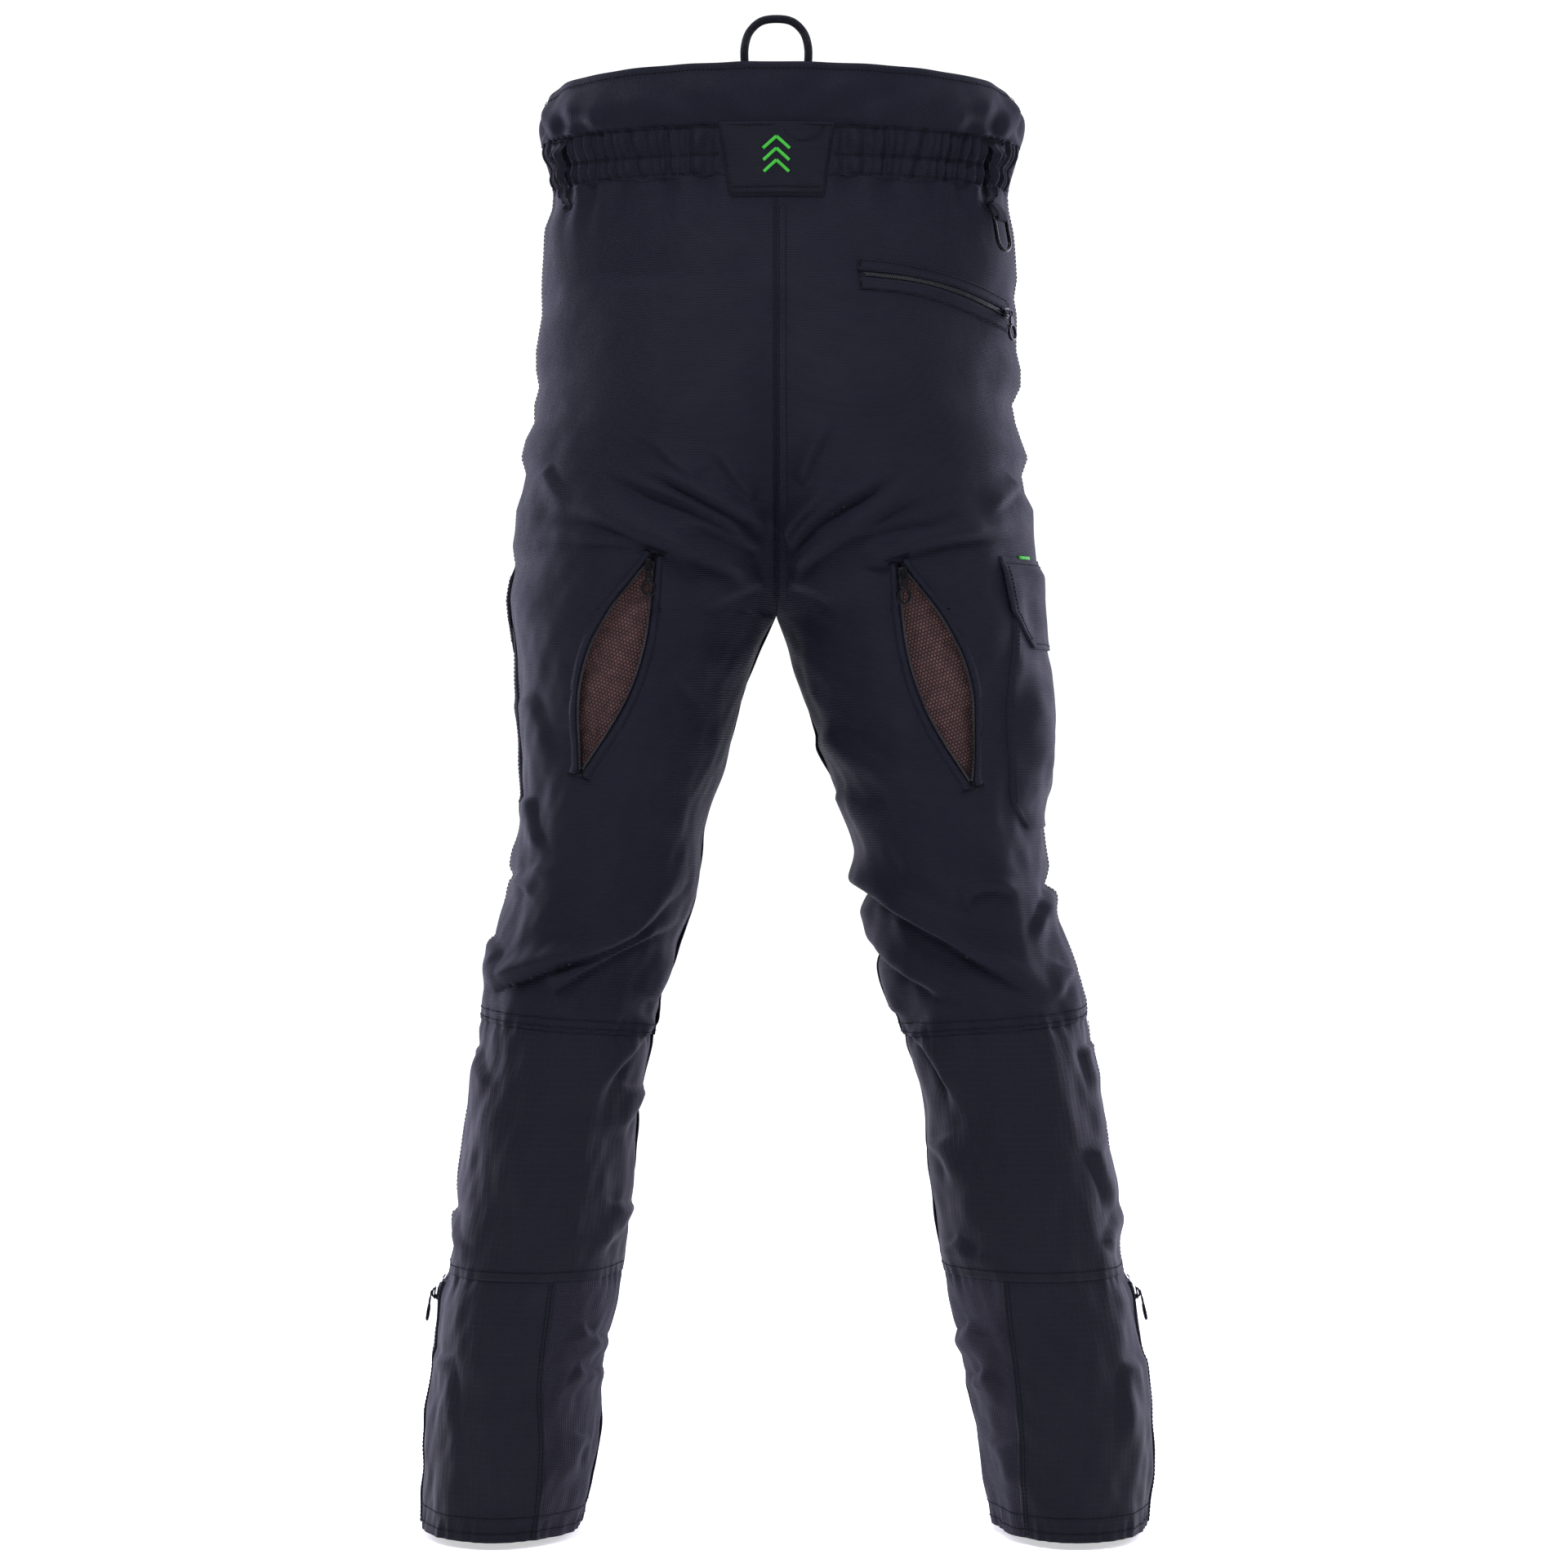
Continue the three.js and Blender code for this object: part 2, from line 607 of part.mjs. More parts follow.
const VENT_LIFT = -CLOTH;
for (const side of SIDES) {
  const edge = (t) => opening(t);
  const frame = (t) => opening(t) + LIP;
  add(`vent_mesh_${side}`,
    ventStrip(side, (t) => -frame(t) + 1, (t) => frame(t) - 1, 5, VENT_LIFT - 1.2, VENT_LIFT - 0.4),
    netting);
  add(`vent_lip_outer_${side}`, ventStrip(side, edge, frame, 1, VENT_LIFT, ON_TOP + CHAIN), cloth);
  add(`vent_lip_inner_${side}`,
    ventStrip(side, (t) => -frame(t), (t) => -edge(t), 1, VENT_LIFT,
      ON_TOP + CHAIN), cloth);
  const spot = (t) => {
    const [x, z] = ventMiddle(side, t);
    return [angleAt(side, x, z), z];
  };
  slider("vent", `_${side}`, side, [spot(0.03), spot(0.5), spot(0.97)]);
  const lips = ventLine(side, () => 0);
  const [a, b] = [0.5, 0.5].map((t, n) => skin(side, ...ventLine(side, () => 5 * n)(t)));
  group.userData.runs[`vent_${side}`].outwards = b.sub(a).normalize().toArray();
  group.userData.runs[`vent_${side}`].middle = skin(side, ...lips(0.5)).toArray();
}

// Rear pocket: two welts, the closed chain between them, and the bag inside the panel
const chainHalf = POCKET_ZIP / 2;
const weltNear = chainHalf + SEAM_GAP;
add("rear_pocket_welt_upper", strip("right", pocketLine(-weltNear - WELT), pocketLine(-weltNear),
  1, 10, ON_TOP, ON_TOP + TRIM), cloth);
add("rear_pocket_welt_lower", strip("right", pocketLine(weltNear), pocketLine(weltNear + WELT),
  1, 10, ON_TOP, ON_TOP + TRIM), cloth);
add("rear_pocket_zip", strip("right", pocketLine(-chainHalf), pocketLine(chainHalf),
  1, 10, ON_TOP, ON_TOP + CHAIN), plastic);
add("rear_pocket_bag", strip("right", pocketLine(-8), pocketLine(POCKET_BAG),
  6, 8, -CLOTH - PAD_GAP - 2.4, -CLOTH - PAD_GAP), netting);
slider("rear_pocket", "", "right", [0.97, 0.5, 0.04].map(pocketLine(0)),
  { raised: POCKET_RISE });

// Cargo pockets: open-topped pouches on the sides, under hinged flaps
const CARGO_COLUMNS = 16; // enough for the flap to follow the pocket
for (const side of SIDES) {
  const { from, to } = CARGO[side];
  const foot = CARGO_TOP - CARGO_DROP;
  const spot = (inset, top, bottom) => (s, t) =>
    [mix(from + inset, to - inset, s), mix(top, bottom, t)];
  const wall = TRIM + 0.4;
  const room = ON_TOP + wall;
  const whole = panel(side, spot(0, CARGO_TOP, foot), CARGO_COLUMNS, 5, ON_TOP, room + CARGO_ROOM + wall);
  const inside = panel(side, spot(wall / RADIUS.thigh, CARGO_TOP + 20, foot + wall), CARGO_COLUMNS, 5,
    room, room + CARGO_ROOM);
  add(`cargo_pocket_${side}`, without(whole, inside), cloth);
  const over = room + CARGO_ROOM + wall + 0.5;
  const lap = FLAP_LAP / RADIUS.thigh;
  const flapSpot = (s, t) => [mix(from - lap, to + lap, s), mix(FLAP_TOP, FLAP_TOP - FLAP_DROP, t)];
  const rise = (t) => mix(SEWN, over, THREE.MathUtils.smoothstep(t, 0, 0.13));
  add(`cargo_flap_${side}`, panel(side, flapSpot, CARGO_COLUMNS, 8, rise, (t) => rise(t) + TRIM), cloth);
  const middle = (from + to) / 2;
  const ends = [from, to].map((angle) => lifted(side, angle, FLAP_TOP, ON_TOP));
  group.userData.runs[`cargo_flap_${side}`] = {
    pivot: lifted(side, middle, FLAP_TOP, ON_TOP).toArray(),
    axis: ends[1].sub(ends[0]).setZ(0).normalize().toArray(),
  };
}

// Side zips at the ankles, open below their sliders
for (const side of SIDES) {
  const leaf = (facing) => panel(side, (s, t) => {
    const z = mix(ankleTop + 4, ankleFoot, t);
    const near = Math.max(ankleHalf(z), 0);
    return [facing * mix(near, near + tapeAngle, s), z];
  }, 1, 6, -CLOTH, ON_TOP + CHAIN);
  const bridge = panel(side, (s, t) => {
    const wide = ankleHalf(ankleTop) + tapeAngle;
    return [mix(-wide, wide, s), mix(ankleTop + 12, ankleTop + 2, t)];
  }, 2, 1, -CLOTH, ON_TOP + CHAIN);
  add(`ankle_zip_${side}`, joined(leaf(1), leaf(-1), bridge), plastic);
  const spots = [ankleTop - 6, mix(ankleTop, ankleFoot, 0.5), ankleFoot + 8].map((z) => [0, z]);
  slider("ankle", `_${side}`, side, spots);
}

// Fly: a straight zip on the middle seam, under a placket, and the button above it
function frontPlate(half, top, foot, columns, low, high) {
  return plate(columns, 6, (s, t, face) => {
    const x = mix(half, -half, s);
    const z = mix(top, foot, t);
    const side = x < 0 ? "left" : "right";
    const lift = face ? high(s) : low(s);
    return lifted(side, -angleAt(side, Math.abs(x), z), z, lift).setX(x);
  });
}

const flyZipTop = WAIST_SEAM - SEAM_GAP;
add("fly_zip", frontPlate(FLY.zip / 2, flyZipTop, FLY.foot, 2, () => ON_TOP, () => ON_TOP + CHAIN),
  plastic);
const placketLift = (s) =>
  SEWN + (SLIDER_LIFT + SLIDER.height) * THREE.MathUtils.smoothstep(Math.min(s, 1 - s), 0, 0.3);
add("fly_placket", frontPlate(FLY.width / 2, flyZipTop, FLY.foot - FLY.edge, 8,
  placketLift, (s) => placketLift(s) + TRIM), cloth);
const frontMiddle = (z) => -angleAt("right", 0, z);
const flyHeights = [flyZipTop - SLIDER.length, mix(flyZipTop, FLY.foot, 0.5), FLY.foot + SLIDER.length];
slider("fly", "", "right", flyHeights.map((z) => [frontMiddle(z), z]), { withPull: false });

const buttonHeight = (BAND_TOP + WAIST_SEAM) / 2;
add("waist_button", new THREE.CylinderGeometry(BUTTON.radius, BUTTON.radius, BUTTON.thick, 20)
  .rotateX(Math.PI / 2).translate(0, 0, BUTTON.thick / 2 + ON_TOP), metal)
  .applyMatrix4(standing("right", frontMiddle(buttonHeight), buttonHeight, DOWN, 0));

export default group;
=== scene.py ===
"""Chainsaw protection trousers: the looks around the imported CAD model.

Sizes are in millimetres until a mesh is made, and heights are measured from the waist, as in the CAD.
"""

import math

import bpy
import numpy as np
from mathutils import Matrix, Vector


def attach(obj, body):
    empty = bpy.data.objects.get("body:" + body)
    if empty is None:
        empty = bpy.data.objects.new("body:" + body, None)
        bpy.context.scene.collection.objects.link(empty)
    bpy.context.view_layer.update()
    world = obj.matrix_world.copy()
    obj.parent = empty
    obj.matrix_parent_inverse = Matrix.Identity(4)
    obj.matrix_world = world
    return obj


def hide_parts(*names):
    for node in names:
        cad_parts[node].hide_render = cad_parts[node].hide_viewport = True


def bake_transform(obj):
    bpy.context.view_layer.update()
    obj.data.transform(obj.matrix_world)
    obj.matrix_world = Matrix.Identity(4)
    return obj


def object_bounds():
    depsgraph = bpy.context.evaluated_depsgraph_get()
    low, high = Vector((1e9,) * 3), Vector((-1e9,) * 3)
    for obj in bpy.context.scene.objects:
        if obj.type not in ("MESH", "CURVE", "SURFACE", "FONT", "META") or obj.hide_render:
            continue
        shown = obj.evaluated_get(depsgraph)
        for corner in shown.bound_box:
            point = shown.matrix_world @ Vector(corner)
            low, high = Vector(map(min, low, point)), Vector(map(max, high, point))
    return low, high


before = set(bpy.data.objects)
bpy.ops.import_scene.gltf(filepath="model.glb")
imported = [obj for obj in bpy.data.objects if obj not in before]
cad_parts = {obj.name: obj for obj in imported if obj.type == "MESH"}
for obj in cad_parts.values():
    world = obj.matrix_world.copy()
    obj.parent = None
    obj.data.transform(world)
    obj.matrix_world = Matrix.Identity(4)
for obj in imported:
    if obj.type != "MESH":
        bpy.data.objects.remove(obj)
CAD_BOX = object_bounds()

# ---------------------------------------------------------------- sizes, the same as the CAD model's
WAIST_WIDTH = 380
CROTCH = -379
INSEAM = 736
KNEE = CROTCH - 0.44 * INSEAM
KNEE_SLOPE = 16
CALF_HEM = CROTCH - 0.719 * INSEAM
HEM = CROTCH - INSEAM
CLOTH = 2.4
ELASTIC_TOP = 4
ELASTIC_MIDDLE = -18.5
WAIST_SEAM = -35
YOKE_TOP = 53
YOKE_SIDE = 46
BAND_TOP = 28
LOOP_ANGLES = {"back": 0.46, "front": -0.8}
VENT_TOP = {"left": (97, -339), "right": (97, -345)}
VENT_FOOT = {"left": (154, -502), "right": (153, -511)}
VENT_BOW = 4
VENT_OPEN = 20
VENT_SHUT = 0.5
LIP = 8
POCKET_ENDS = ((67, -115), (184, -138))
POCKET_BEND = -5
CARGO = {"left": (-1.35, -0.05), "right": (-0.85, 0.72)}
CARGO_TOP = -345
CARGO_DROP = 205
FLAP_TOP = -334
FLAP_DROP = 72
GAITER_SEAM = {"left": (1.87, 2.1), "right": (2.0, 2.3)}
ANKLE_TOP = CALF_HEM - 14
ANKLE_FOOT = HEM + 6
SIGN = {"left": -1, "right": 1}
SIDES = ("left", "right")

TORSO = [
    (75, -14, 0), (50, -4, 0), (25, 8, 0), (0, 4, 0), (-35, -3, 0), (-70, 3, 0),
    (-148, 7, 0), (-228, 13, 0.36), (-300, 19, 0.665), (-350, 22, 0.88), (CROTCH, 23, 1),
]
LEGS = {
    "left": [
        (0.067, 211, 23), (0.147, 208, 39), (0.228, 209, 57), (0.31, 220, 67), (0.391, 238, 88),
        (0.446, 242, 97), (0.527, 251, 110), (0.609, 259, 116), (0.689, 263, 122), (0.743, 274, 127),
        (0.825, 279, 142), (0.906, 287, 144), (1, 290, 158),
    ],
    "right": [
        (0.067, 216, 17), (0.147, 216, 38), (0.228, 217, 58), (0.31, 225, 74), (0.391, 245, 87),
        (0.446, 254, 100), (0.527, 264, 118), (0.609, 273, 124), (0.689, 281, 132), (0.743, 289, 140),
        (0.825, 301, 152), (0.906, 307, 164), (1, 303, 177),
    ],
}
DEPTHS = np.array([
    (75, 100, 98, 0), (50, 108, 102, 0), (25, 112, 104, 0), (0, 108, 104, 0), (-35, 106, 104, 0),
    (-70, 112, 104, 0), (-148, 126, 104, 0), (-228, 132, 104, 0), (-300, 130, 104, 0),
    (CROTCH, 120, 104, 0),
] + [(CROTCH - share * INSEAM, *rest) for share, *rest in [
    (0.067, 112, 104, 2), (0.228, 98, 96, 8), (0.391, 86, 88, 12), (0.446, 82, 86, 12),
    (0.609, 84, 76, 2), (0.743, 84, 80, -2), (0.906, 86, 86, 0), (1, 88, 92, 4),
]])
WIDTHS = {side: np.array(
    [(z, WAIST_WIDTH / 2 + more, -(WAIST_WIDTH / 2 + more) * (1 - split)) for z, more, split in TORSO]
    + [(CROTCH - share * INSEAM, outer, inner) for share, outer, inner in LEGS[side]]
) for side in SIDES}


# ---------------------------------------------------------------- the surface of the trousers
def mix(a, b, t):
    return a + (b - a) * np.asarray(t, float)


def smoothstep(x, a, b):
    t = np.clip((np.asarray(x, float) - a) / (b - a), 0, 1)
    return t * t * (3 - 2 * t)


def columns(table, z):
    """The table's columns at each height, on a smooth curve through its rows."""
    z = np.asarray(z, float)
    heights = table[:, 0]
    values = table[:, 1:]
    last = len(heights) - 1
    before = np.maximum(np.arange(last + 1) - 1, 0)
    after = np.minimum(np.arange(last + 1) + 1, last)
    slopes = (values[after] - values[before]) / (heights[after] - heights[before])[:, None]
    i = np.clip(np.searchsorted(-heights, -z) - 1, 0, last - 1)
    step = heights[i + 1] - heights[i]
    t = np.clip((z - heights[i]) / step, 0, 1)[..., None]
    rise = values[i + 1] - values[i]
    bend = step[..., None] * t * (1 - t)
    made = values[i] + rise * t * t * (3 - 2 * t) + bend * ((1 - t) * slopes[i] - t * slopes[i + 1])
    return np.moveaxis(made, -1, 0)


def outline(side, z):
    outer, inner = columns(WIDTHS[side], z)
    back, front, middle = columns(DEPTHS, z)
    return (outer + inner) / 2, (outer - inner) / 2, back, front, middle


def skin(side, angle, z):
    """A point of the plain surface. The angle is 0 at the outer side and grows towards the back."""
    angle, z = np.broadcast_arrays(np.asarray(angle, float), np.asarray(z, float))
    centre, half, back, front, middle = outline(side, z)
    depth = np.where(angle > 0, back, front)
    return np.stack([SIGN[side] * (centre + half * np.cos(angle)), middle - depth * np.sin(angle), z], -1)


def unit(v):
    return v / np.maximum(np.linalg.norm(v, axis=-1, keepdims=True), 1e-9)


def outward(side, angle, z, surface=skin, da=0.01, dz=1.0):
    angle = np.asarray(angle, float)
    z = np.asarray(z, float)
    around = surface(side, angle + da, z) - surface(side, angle - da, z)
    up = surface(side, angle, z + dz) - surface(side, angle, z - dz)
    return unit(np.cross(around, up)) * -SIGN[side]


def middle_angle(side, z):
    """The angle at the middle of the body, or at the inner leg below the crotch."""
    centre, half, *_ = outline(side, z)
    return np.arccos(np.clip(-centre / half, -1, 1))


def angle_at(side, x, z):
    centre, half, *_ = outline(side, z)
    return np.arccos(np.clip((x - centre) / half, -1, 1))


# ---------------------------------------------------------------- folds, gathers and puckers
def smooth_line(points, step=5.0):
    """Points at even steps on a smooth curve through the given ones."""
    p = np.asarray(points, float)
    p = np.vstack([2 * p[0] - p[1], p, 2 * p[-1] - p[-2]])
    made = []
    for k in range(1, len(p) - 2):
        n = max(2, int(np.linalg.norm(p[k + 1] - p[k]) / step))
        t = np.linspace(0, 1, n, endpoint=k == len(p) - 3)[:, None]
        made.append(0.5 * (2 * p[k] + (p[k + 1] - p[k - 1]) * t
                           + (2 * p[k - 1] - 5 * p[k] + 4 * p[k + 1] - p[k + 2]) * t ** 2
                           + (3 * p[k] - p[k - 1] - 3 * p[k + 1] + p[k + 2]) * t ** 3))
    return np.vstack(made)


def to_line(x, z, line):
    """Signed distance to a line in the (x, z) plane, and the share of its length, at each point."""
    a, b = line[:-1], line[1:]
    ab = b - a
    long2 = (ab ** 2).sum(1)
    p = np.stack([x, z], -1)[:, None, :] - a[None]
    t = np.clip((p * ab).sum(-1) / long2, 0, 1)
    gap = p - t[..., None] * ab
    d2 = (gap ** 2).sum(-1)
    k = d2.argmin(1)
    row = np.arange(len(k))
    d = np.sqrt(d2[row, k])
    side = np.sign(ab[k, 0] * p[row, k, 1] - ab[k, 1] * p[row, k, 0])
    return d * np.where(side == 0, 1, side), (k + t[row, k]) / len(a)


# The folds of each face: the line of the crest in (x, z), height, width, how deep the trough beside it
# is (above the line where positive, below it where negative, as a share of the height).
FOLDS = {"back": [
    # the seat's broad forms, and the hollow along the middle seam
    ([(-96, -110), (-98, -170), (-92, -226), (-84, -262)], 7, 62, 0),
    ([(96, -110), (98, -170), (92, -226), (84, -262)], 7, 62, 0),
    ([(0, -120), (0, -200), (0, -290), (0, -380), (0, -420)], -4.5, 22, 0),
    ([(-130, -352), (-80, -345), (-30, -338)], -3, 20, 0),
    ([(130, -352), (80, -345), (30, -338)], -3, 20, 0),
    # seat, left: they run up and out from the crotch
    ([(-4, -311), (-33, -298), (-56, -287), (-78, -276), (-100, -266), (-118, -253)], 4.6, 8, 1),
    ([(-20, -318), (-46, -305), (-76, -291), (-104, -280), (-128, -266), (-137, -250)], 3.6, 7, 0.9),
    ([(-16, -292), (-32, -275), (-50, -248)], 2.2, 6, 0.6),
    ([(-58, -276), (-80, -262), (-98, -246), (-116, -240)], 2.4, 6, 0.8),
    ([(-16, -347), (-52, -335), (-78, -324), (-110, -313), (-146, -299), (-186, -286)], 5, 11, 0.8),
    ([(-60, -338), (-100, -326), (-150, -319), (-202, -316)], 2.6, 8, 0.6),
    ([(-8, -328), (-30, -322), (-56, -312), (-82, -306)], 2.6, 6, 0.8),
    ([(-186, -262), (-176, -280), (-158, -296)], 2, 8, 0.5),
    ([(-10, -350), (-36, -360), (-66, -376)], 2.4, 11, 0.5),
    # seat, right
    ([(18, -280), (26, -260), (36, -240), (40, -222)], 2.8, 7, -0.8),
    ([(3, -322), (15, -305), (32, -291), (44, -272)], 3.4, 6, -0.9),
    ([(4, -331), (24, -309), (46, -295), (68, -284), (87, -270), (96, -256)], 4.2, 7, -1),
    ([(8, -345), (38, -325), (68, -306), (96, -292), (130, -278)], 4.4, 9, -0.8),
    ([(60, -334), (84, -338), (102, -328), (130, -320), (162, -314), (190, -308), (202, -298)],
     3.8, 8, -0.8),
    ([(52, -318), (88, -310), (124, -304), (150, -290)], 2.4, 7, -0.6),
    ([(8, -351), (34, -360), (60, -378)], 2.2, 11, -0.5),
    ([(196, -270), (184, -284), (164, -296)], 2.2, 8, 0.5),
    # backs of the thighs
    ([(-78, -438), (-60, -420), (-34, -404)], 2.5, 14, 0.3),
    ([(-203, -440), (-188, -470), (-182, -505)], 2, 10, 0.4),
    ([(-199, -522), (-194, -552), (-180, -576)], 3, 7, 0.5),
    ([(-206, -600), (-190, -584), (-168, -590)], 2.2, 9, 0.4),
    ([(34, -470), (77, -500), (122, -513)], 3, 13, 0.4),
    ([(48, -520), (70, -536), (92, -540)], 2, 12, 0.3),
    # knees
    ([(-242, -674), (-214, -666), (-180, -654), (-142, -640), (-112, -624), (-88, -600), (-70, -572)],
     6.5, 9, -1),
    ([(-184, -676), (-150, -656), (-120, -641), (-94, -628), (-72, -612)], 5, 7, -1),
    ([(-236, -604), (-218, -596), (-196, -586)], 2.6, 7, 0.7),
    ([(-238, -636), (-226, -654), (-232, -676)], 2.4, 8, 0.5),
    ([(-106, -690), (-92, -664), (-84, -640)], 3.4, 9, -0.6),
    ([(62, -566), (72, -590), (92, -606), (122, -626), (156, -646), (192, -664), (232, -684)], 6.5, 9, -1),
    ([(70, -604), (80, -634), (100, -658), (130, -676), (158, -684)], 5, 8, -0.9),
    ([(96, -704), (92, -684), (80, -656), (74, -636)], 2.8, 7, 0.7),
    ([(148, -614), (152, -600), (168, -594), (188, -598), (200, -612)], 3, 6, -0.7),
    ([(236, -590), (218, -612), (206, -646)], 3.2, 8, -0.7),
    ([(236, -660), (228, -676), (214, -690)], 2.6, 9, 0.4),
    # calves
    ([(-100, -700), (-116, -722), (-140, -752), (-150, -776)], 4, 8, 0.8),
    ([(-112, -758), (-120, -776), (-134, -800)], 3.4, 9, 0.6),
    ([(-120, -852), (-132, -872), (-150, -892)], 3.2, 10, 0.6),
    ([(-246, -726), (-240, -746), (-228, -762)], 2.4, 8, 0.4),
    ([(-262, -858), (-256, -880), (-244, -894)], 2.4, 8, 0.4),
    ([(108, -708), (128, -732), (144, -762), (150, -786)], 5, 8, -0.9),
    ([(128, -800), (140, -818), (146, -842)], 3, 9, -0.5),
    ([(140, -880), (156, -892), (172, -896)], 2.8, 9, 0.5),
    ([(250, -724), (254, -746), (262, -768)], 2.8, 8, -0.5),
    ([(252, -802), (266, -836), (272, -868)], 3.4, 9, -0.6),
    ([(262, -884), (272, -870), (282, -852)], 2.4, 8, 0.4),
    # leg ends
    ([(-160, -948), (-146, -962), (-139, -976)], 3.4, 8, 0.6),
    ([(-162, -982), (-148, -992), (-140, -1004)], 2.8, 8, 0.6),
    ([(-154, -1034), (-164, -1052), (-166, -1076)], 2.4, 10, 0.4),
    ([(160, -946), (152, -962), (150, -980)], 3.4, 8, -0.6),
    ([(172, -984), (160, -998), (158, -1012)], 2.8, 8, -0.6),
    ([(178, -1040), (186, -1058), (188, -1080)], 2.4, 10, -0.4),
    ([(-268, -968), (-262, -1000), (-266, -1040)], 2.6, 12, 0.4),
    ([(286, -972), (280, -1006), (284, -1050)], 2.6, 12, -0.4),
], "front": [
    # hips and groin
    ([(-8, -300), (-40, -288), (-84, -262), (-132, -236)], 4.5, 12, 0.6),
    ([(8, -304), (44, -286), (92, -262), (140, -240)], 4.5, 12, -0.6),
    ([(-14, -330), (-58, -322), (-110, -298), (-172, -288)], 5, 13, 0.6),
    ([(14, -334), (60, -322), (114, -304), (176, -284)], 5, 13, -0.6),
    ([(-18, -366), (-66, -368), (-120, -352), (-182, -350)], 3.6, 14, 0.5),
    ([(18, -368), (64, -366), (122, -354), (188, -346)], 3.6, 14, -0.5),
    # thighs and knees
    ([(-190, -470), (-140, -490), (-86, -486)], 2.6, 18, 0.4),
    ([(196, -478), (146, -498), (92, -490)], 2.6, 18, -0.4),
    ([(-226, -620), (-180, -634), (-128, -630), (-86, -606)], 4.2, 13, 0.6),
    ([(232, -626), (186, -640), (132, -634), (88, -610)], 4.2, 13, -0.6),
    ([(-230, -662), (-186, -676), (-136, -672), (-98, -654)], 3.6, 10, 0.6),
    ([(238, -668), (192, -682), (140, -678), (104, -660)], 3.6, 10, -0.6),
    ([(-236, -742), (-190, -752), (-140, -740)], 3, 12, -0.5),
    ([(246, -746), (200, -756), (146, -744)], 3, 12, 0.5),
    ([(-240, -826), (-198, -846), (-150, -836)], 2.6, 14, 0.4),
    ([(262, -830), (214, -850), (164, -838)], 2.6, 14, -0.4),
    ([(-256, -956), (-214, -972), (-166, -962)], 3, 12, 0.5),
    ([(282, -960), (238, -976), (182, -966)], 3, 12, -0.5),
    ([(-262, -1004), (-220, -1022), (-172, -1010)], 2.8, 12, 0.5),
    ([(288, -1008), (242, -1026), (188, -1014)], 2.8, 12, -0.5),
]}

# How far the outer sides stand off the plain surface: height, mm.
SIDE_BULGES = {
    "left": [
        (60, -2), (40, -6), (26, -6), (11, -4.5), (-3, -3.5), (-46, -6), (-61, -3.6), (-104, -4.8),
        (-133, -6), (-162, -2.4), (-177, -3.6), (-191, -7.2), (-205, -4.8), (-220, -6), (-234, 0),
        (-249, 2.4), (-263, -2.4), (-278, 0), (-292, 3.6), (-321, 4.8), (-336, 1.2), (-365, 3.6),
        (-379, 2.4), (-393, 0), (-524, 0), (-545, 1.2), (-567, 3.6), (-581, 3.6), (-596, -3.6),
        (-610, 0), (-712, 0), (-733, -4.5), (-755, 0), (-842, 0), (-856, -2.4), (-871, -1.2), (-900, 0),
        (-914, -6.5), (-929, -3.6), (-957, -1.2), (-1100, -2),
    ],
    "right": [
        (60, -4), (26, 3.5), (11, 3.6), (-3, 2.4), (-46, 0), (-104, 0), (-119, -3.6), (-133, -2.4),
        (-162, -3.6), (-177, -1.2), (-191, -2.4), (-205, -10.8), (-220, -9.6), (-234, -6), (-249, -1.2),
        (-263, -7.2), (-278, -6), (-292, 0), (-336, 0), (-365, -2), (-538, -1), (-553, 1.2),
        (-581, 1.2), (-596, -3.6), (-610, -1.2), (-668, 0), (-690, 2.4), (-712, 0), (-733, -2.4),
        (-755, -1.2), (-790, 1.2), (-827, -1.2), (-871, 0), (-900, -3.6), (-914, -7.2), (-929, -1.2),
        (-957, -2.4), (-1100, -2.4),
    ],
}


# Where the cloth lies flat: side, face, distance from the middle, height.
QUIET = [
    *((side, 1, VENT_TOP[side][0] + 2, VENT_TOP[side][1] - 6) for side in SIDES),
    ("right", 1, POCKET_ENDS[1][0] - 4, POCKET_ENDS[1][1] + 1),
    ("right", 1, 172, ELASTIC_TOP - 70),
]


def waves(u, v, count, low, high, seed):
    """Smooth, even noise of about unit size from waves of many directions; u and v in mm."""
    r = np.random.default_rng(seed)
    made = np.zeros(np.broadcast(u, v).shape)
    for _ in range(count):
        turn = r.uniform(0, math.tau)
        k = math.tau / r.uniform(low, high)
        made += np.sin(k * (u * math.cos(turn) + v * math.sin(turn)) + r.uniform(0, math.tau))
    return made / math.sqrt(count / 2)


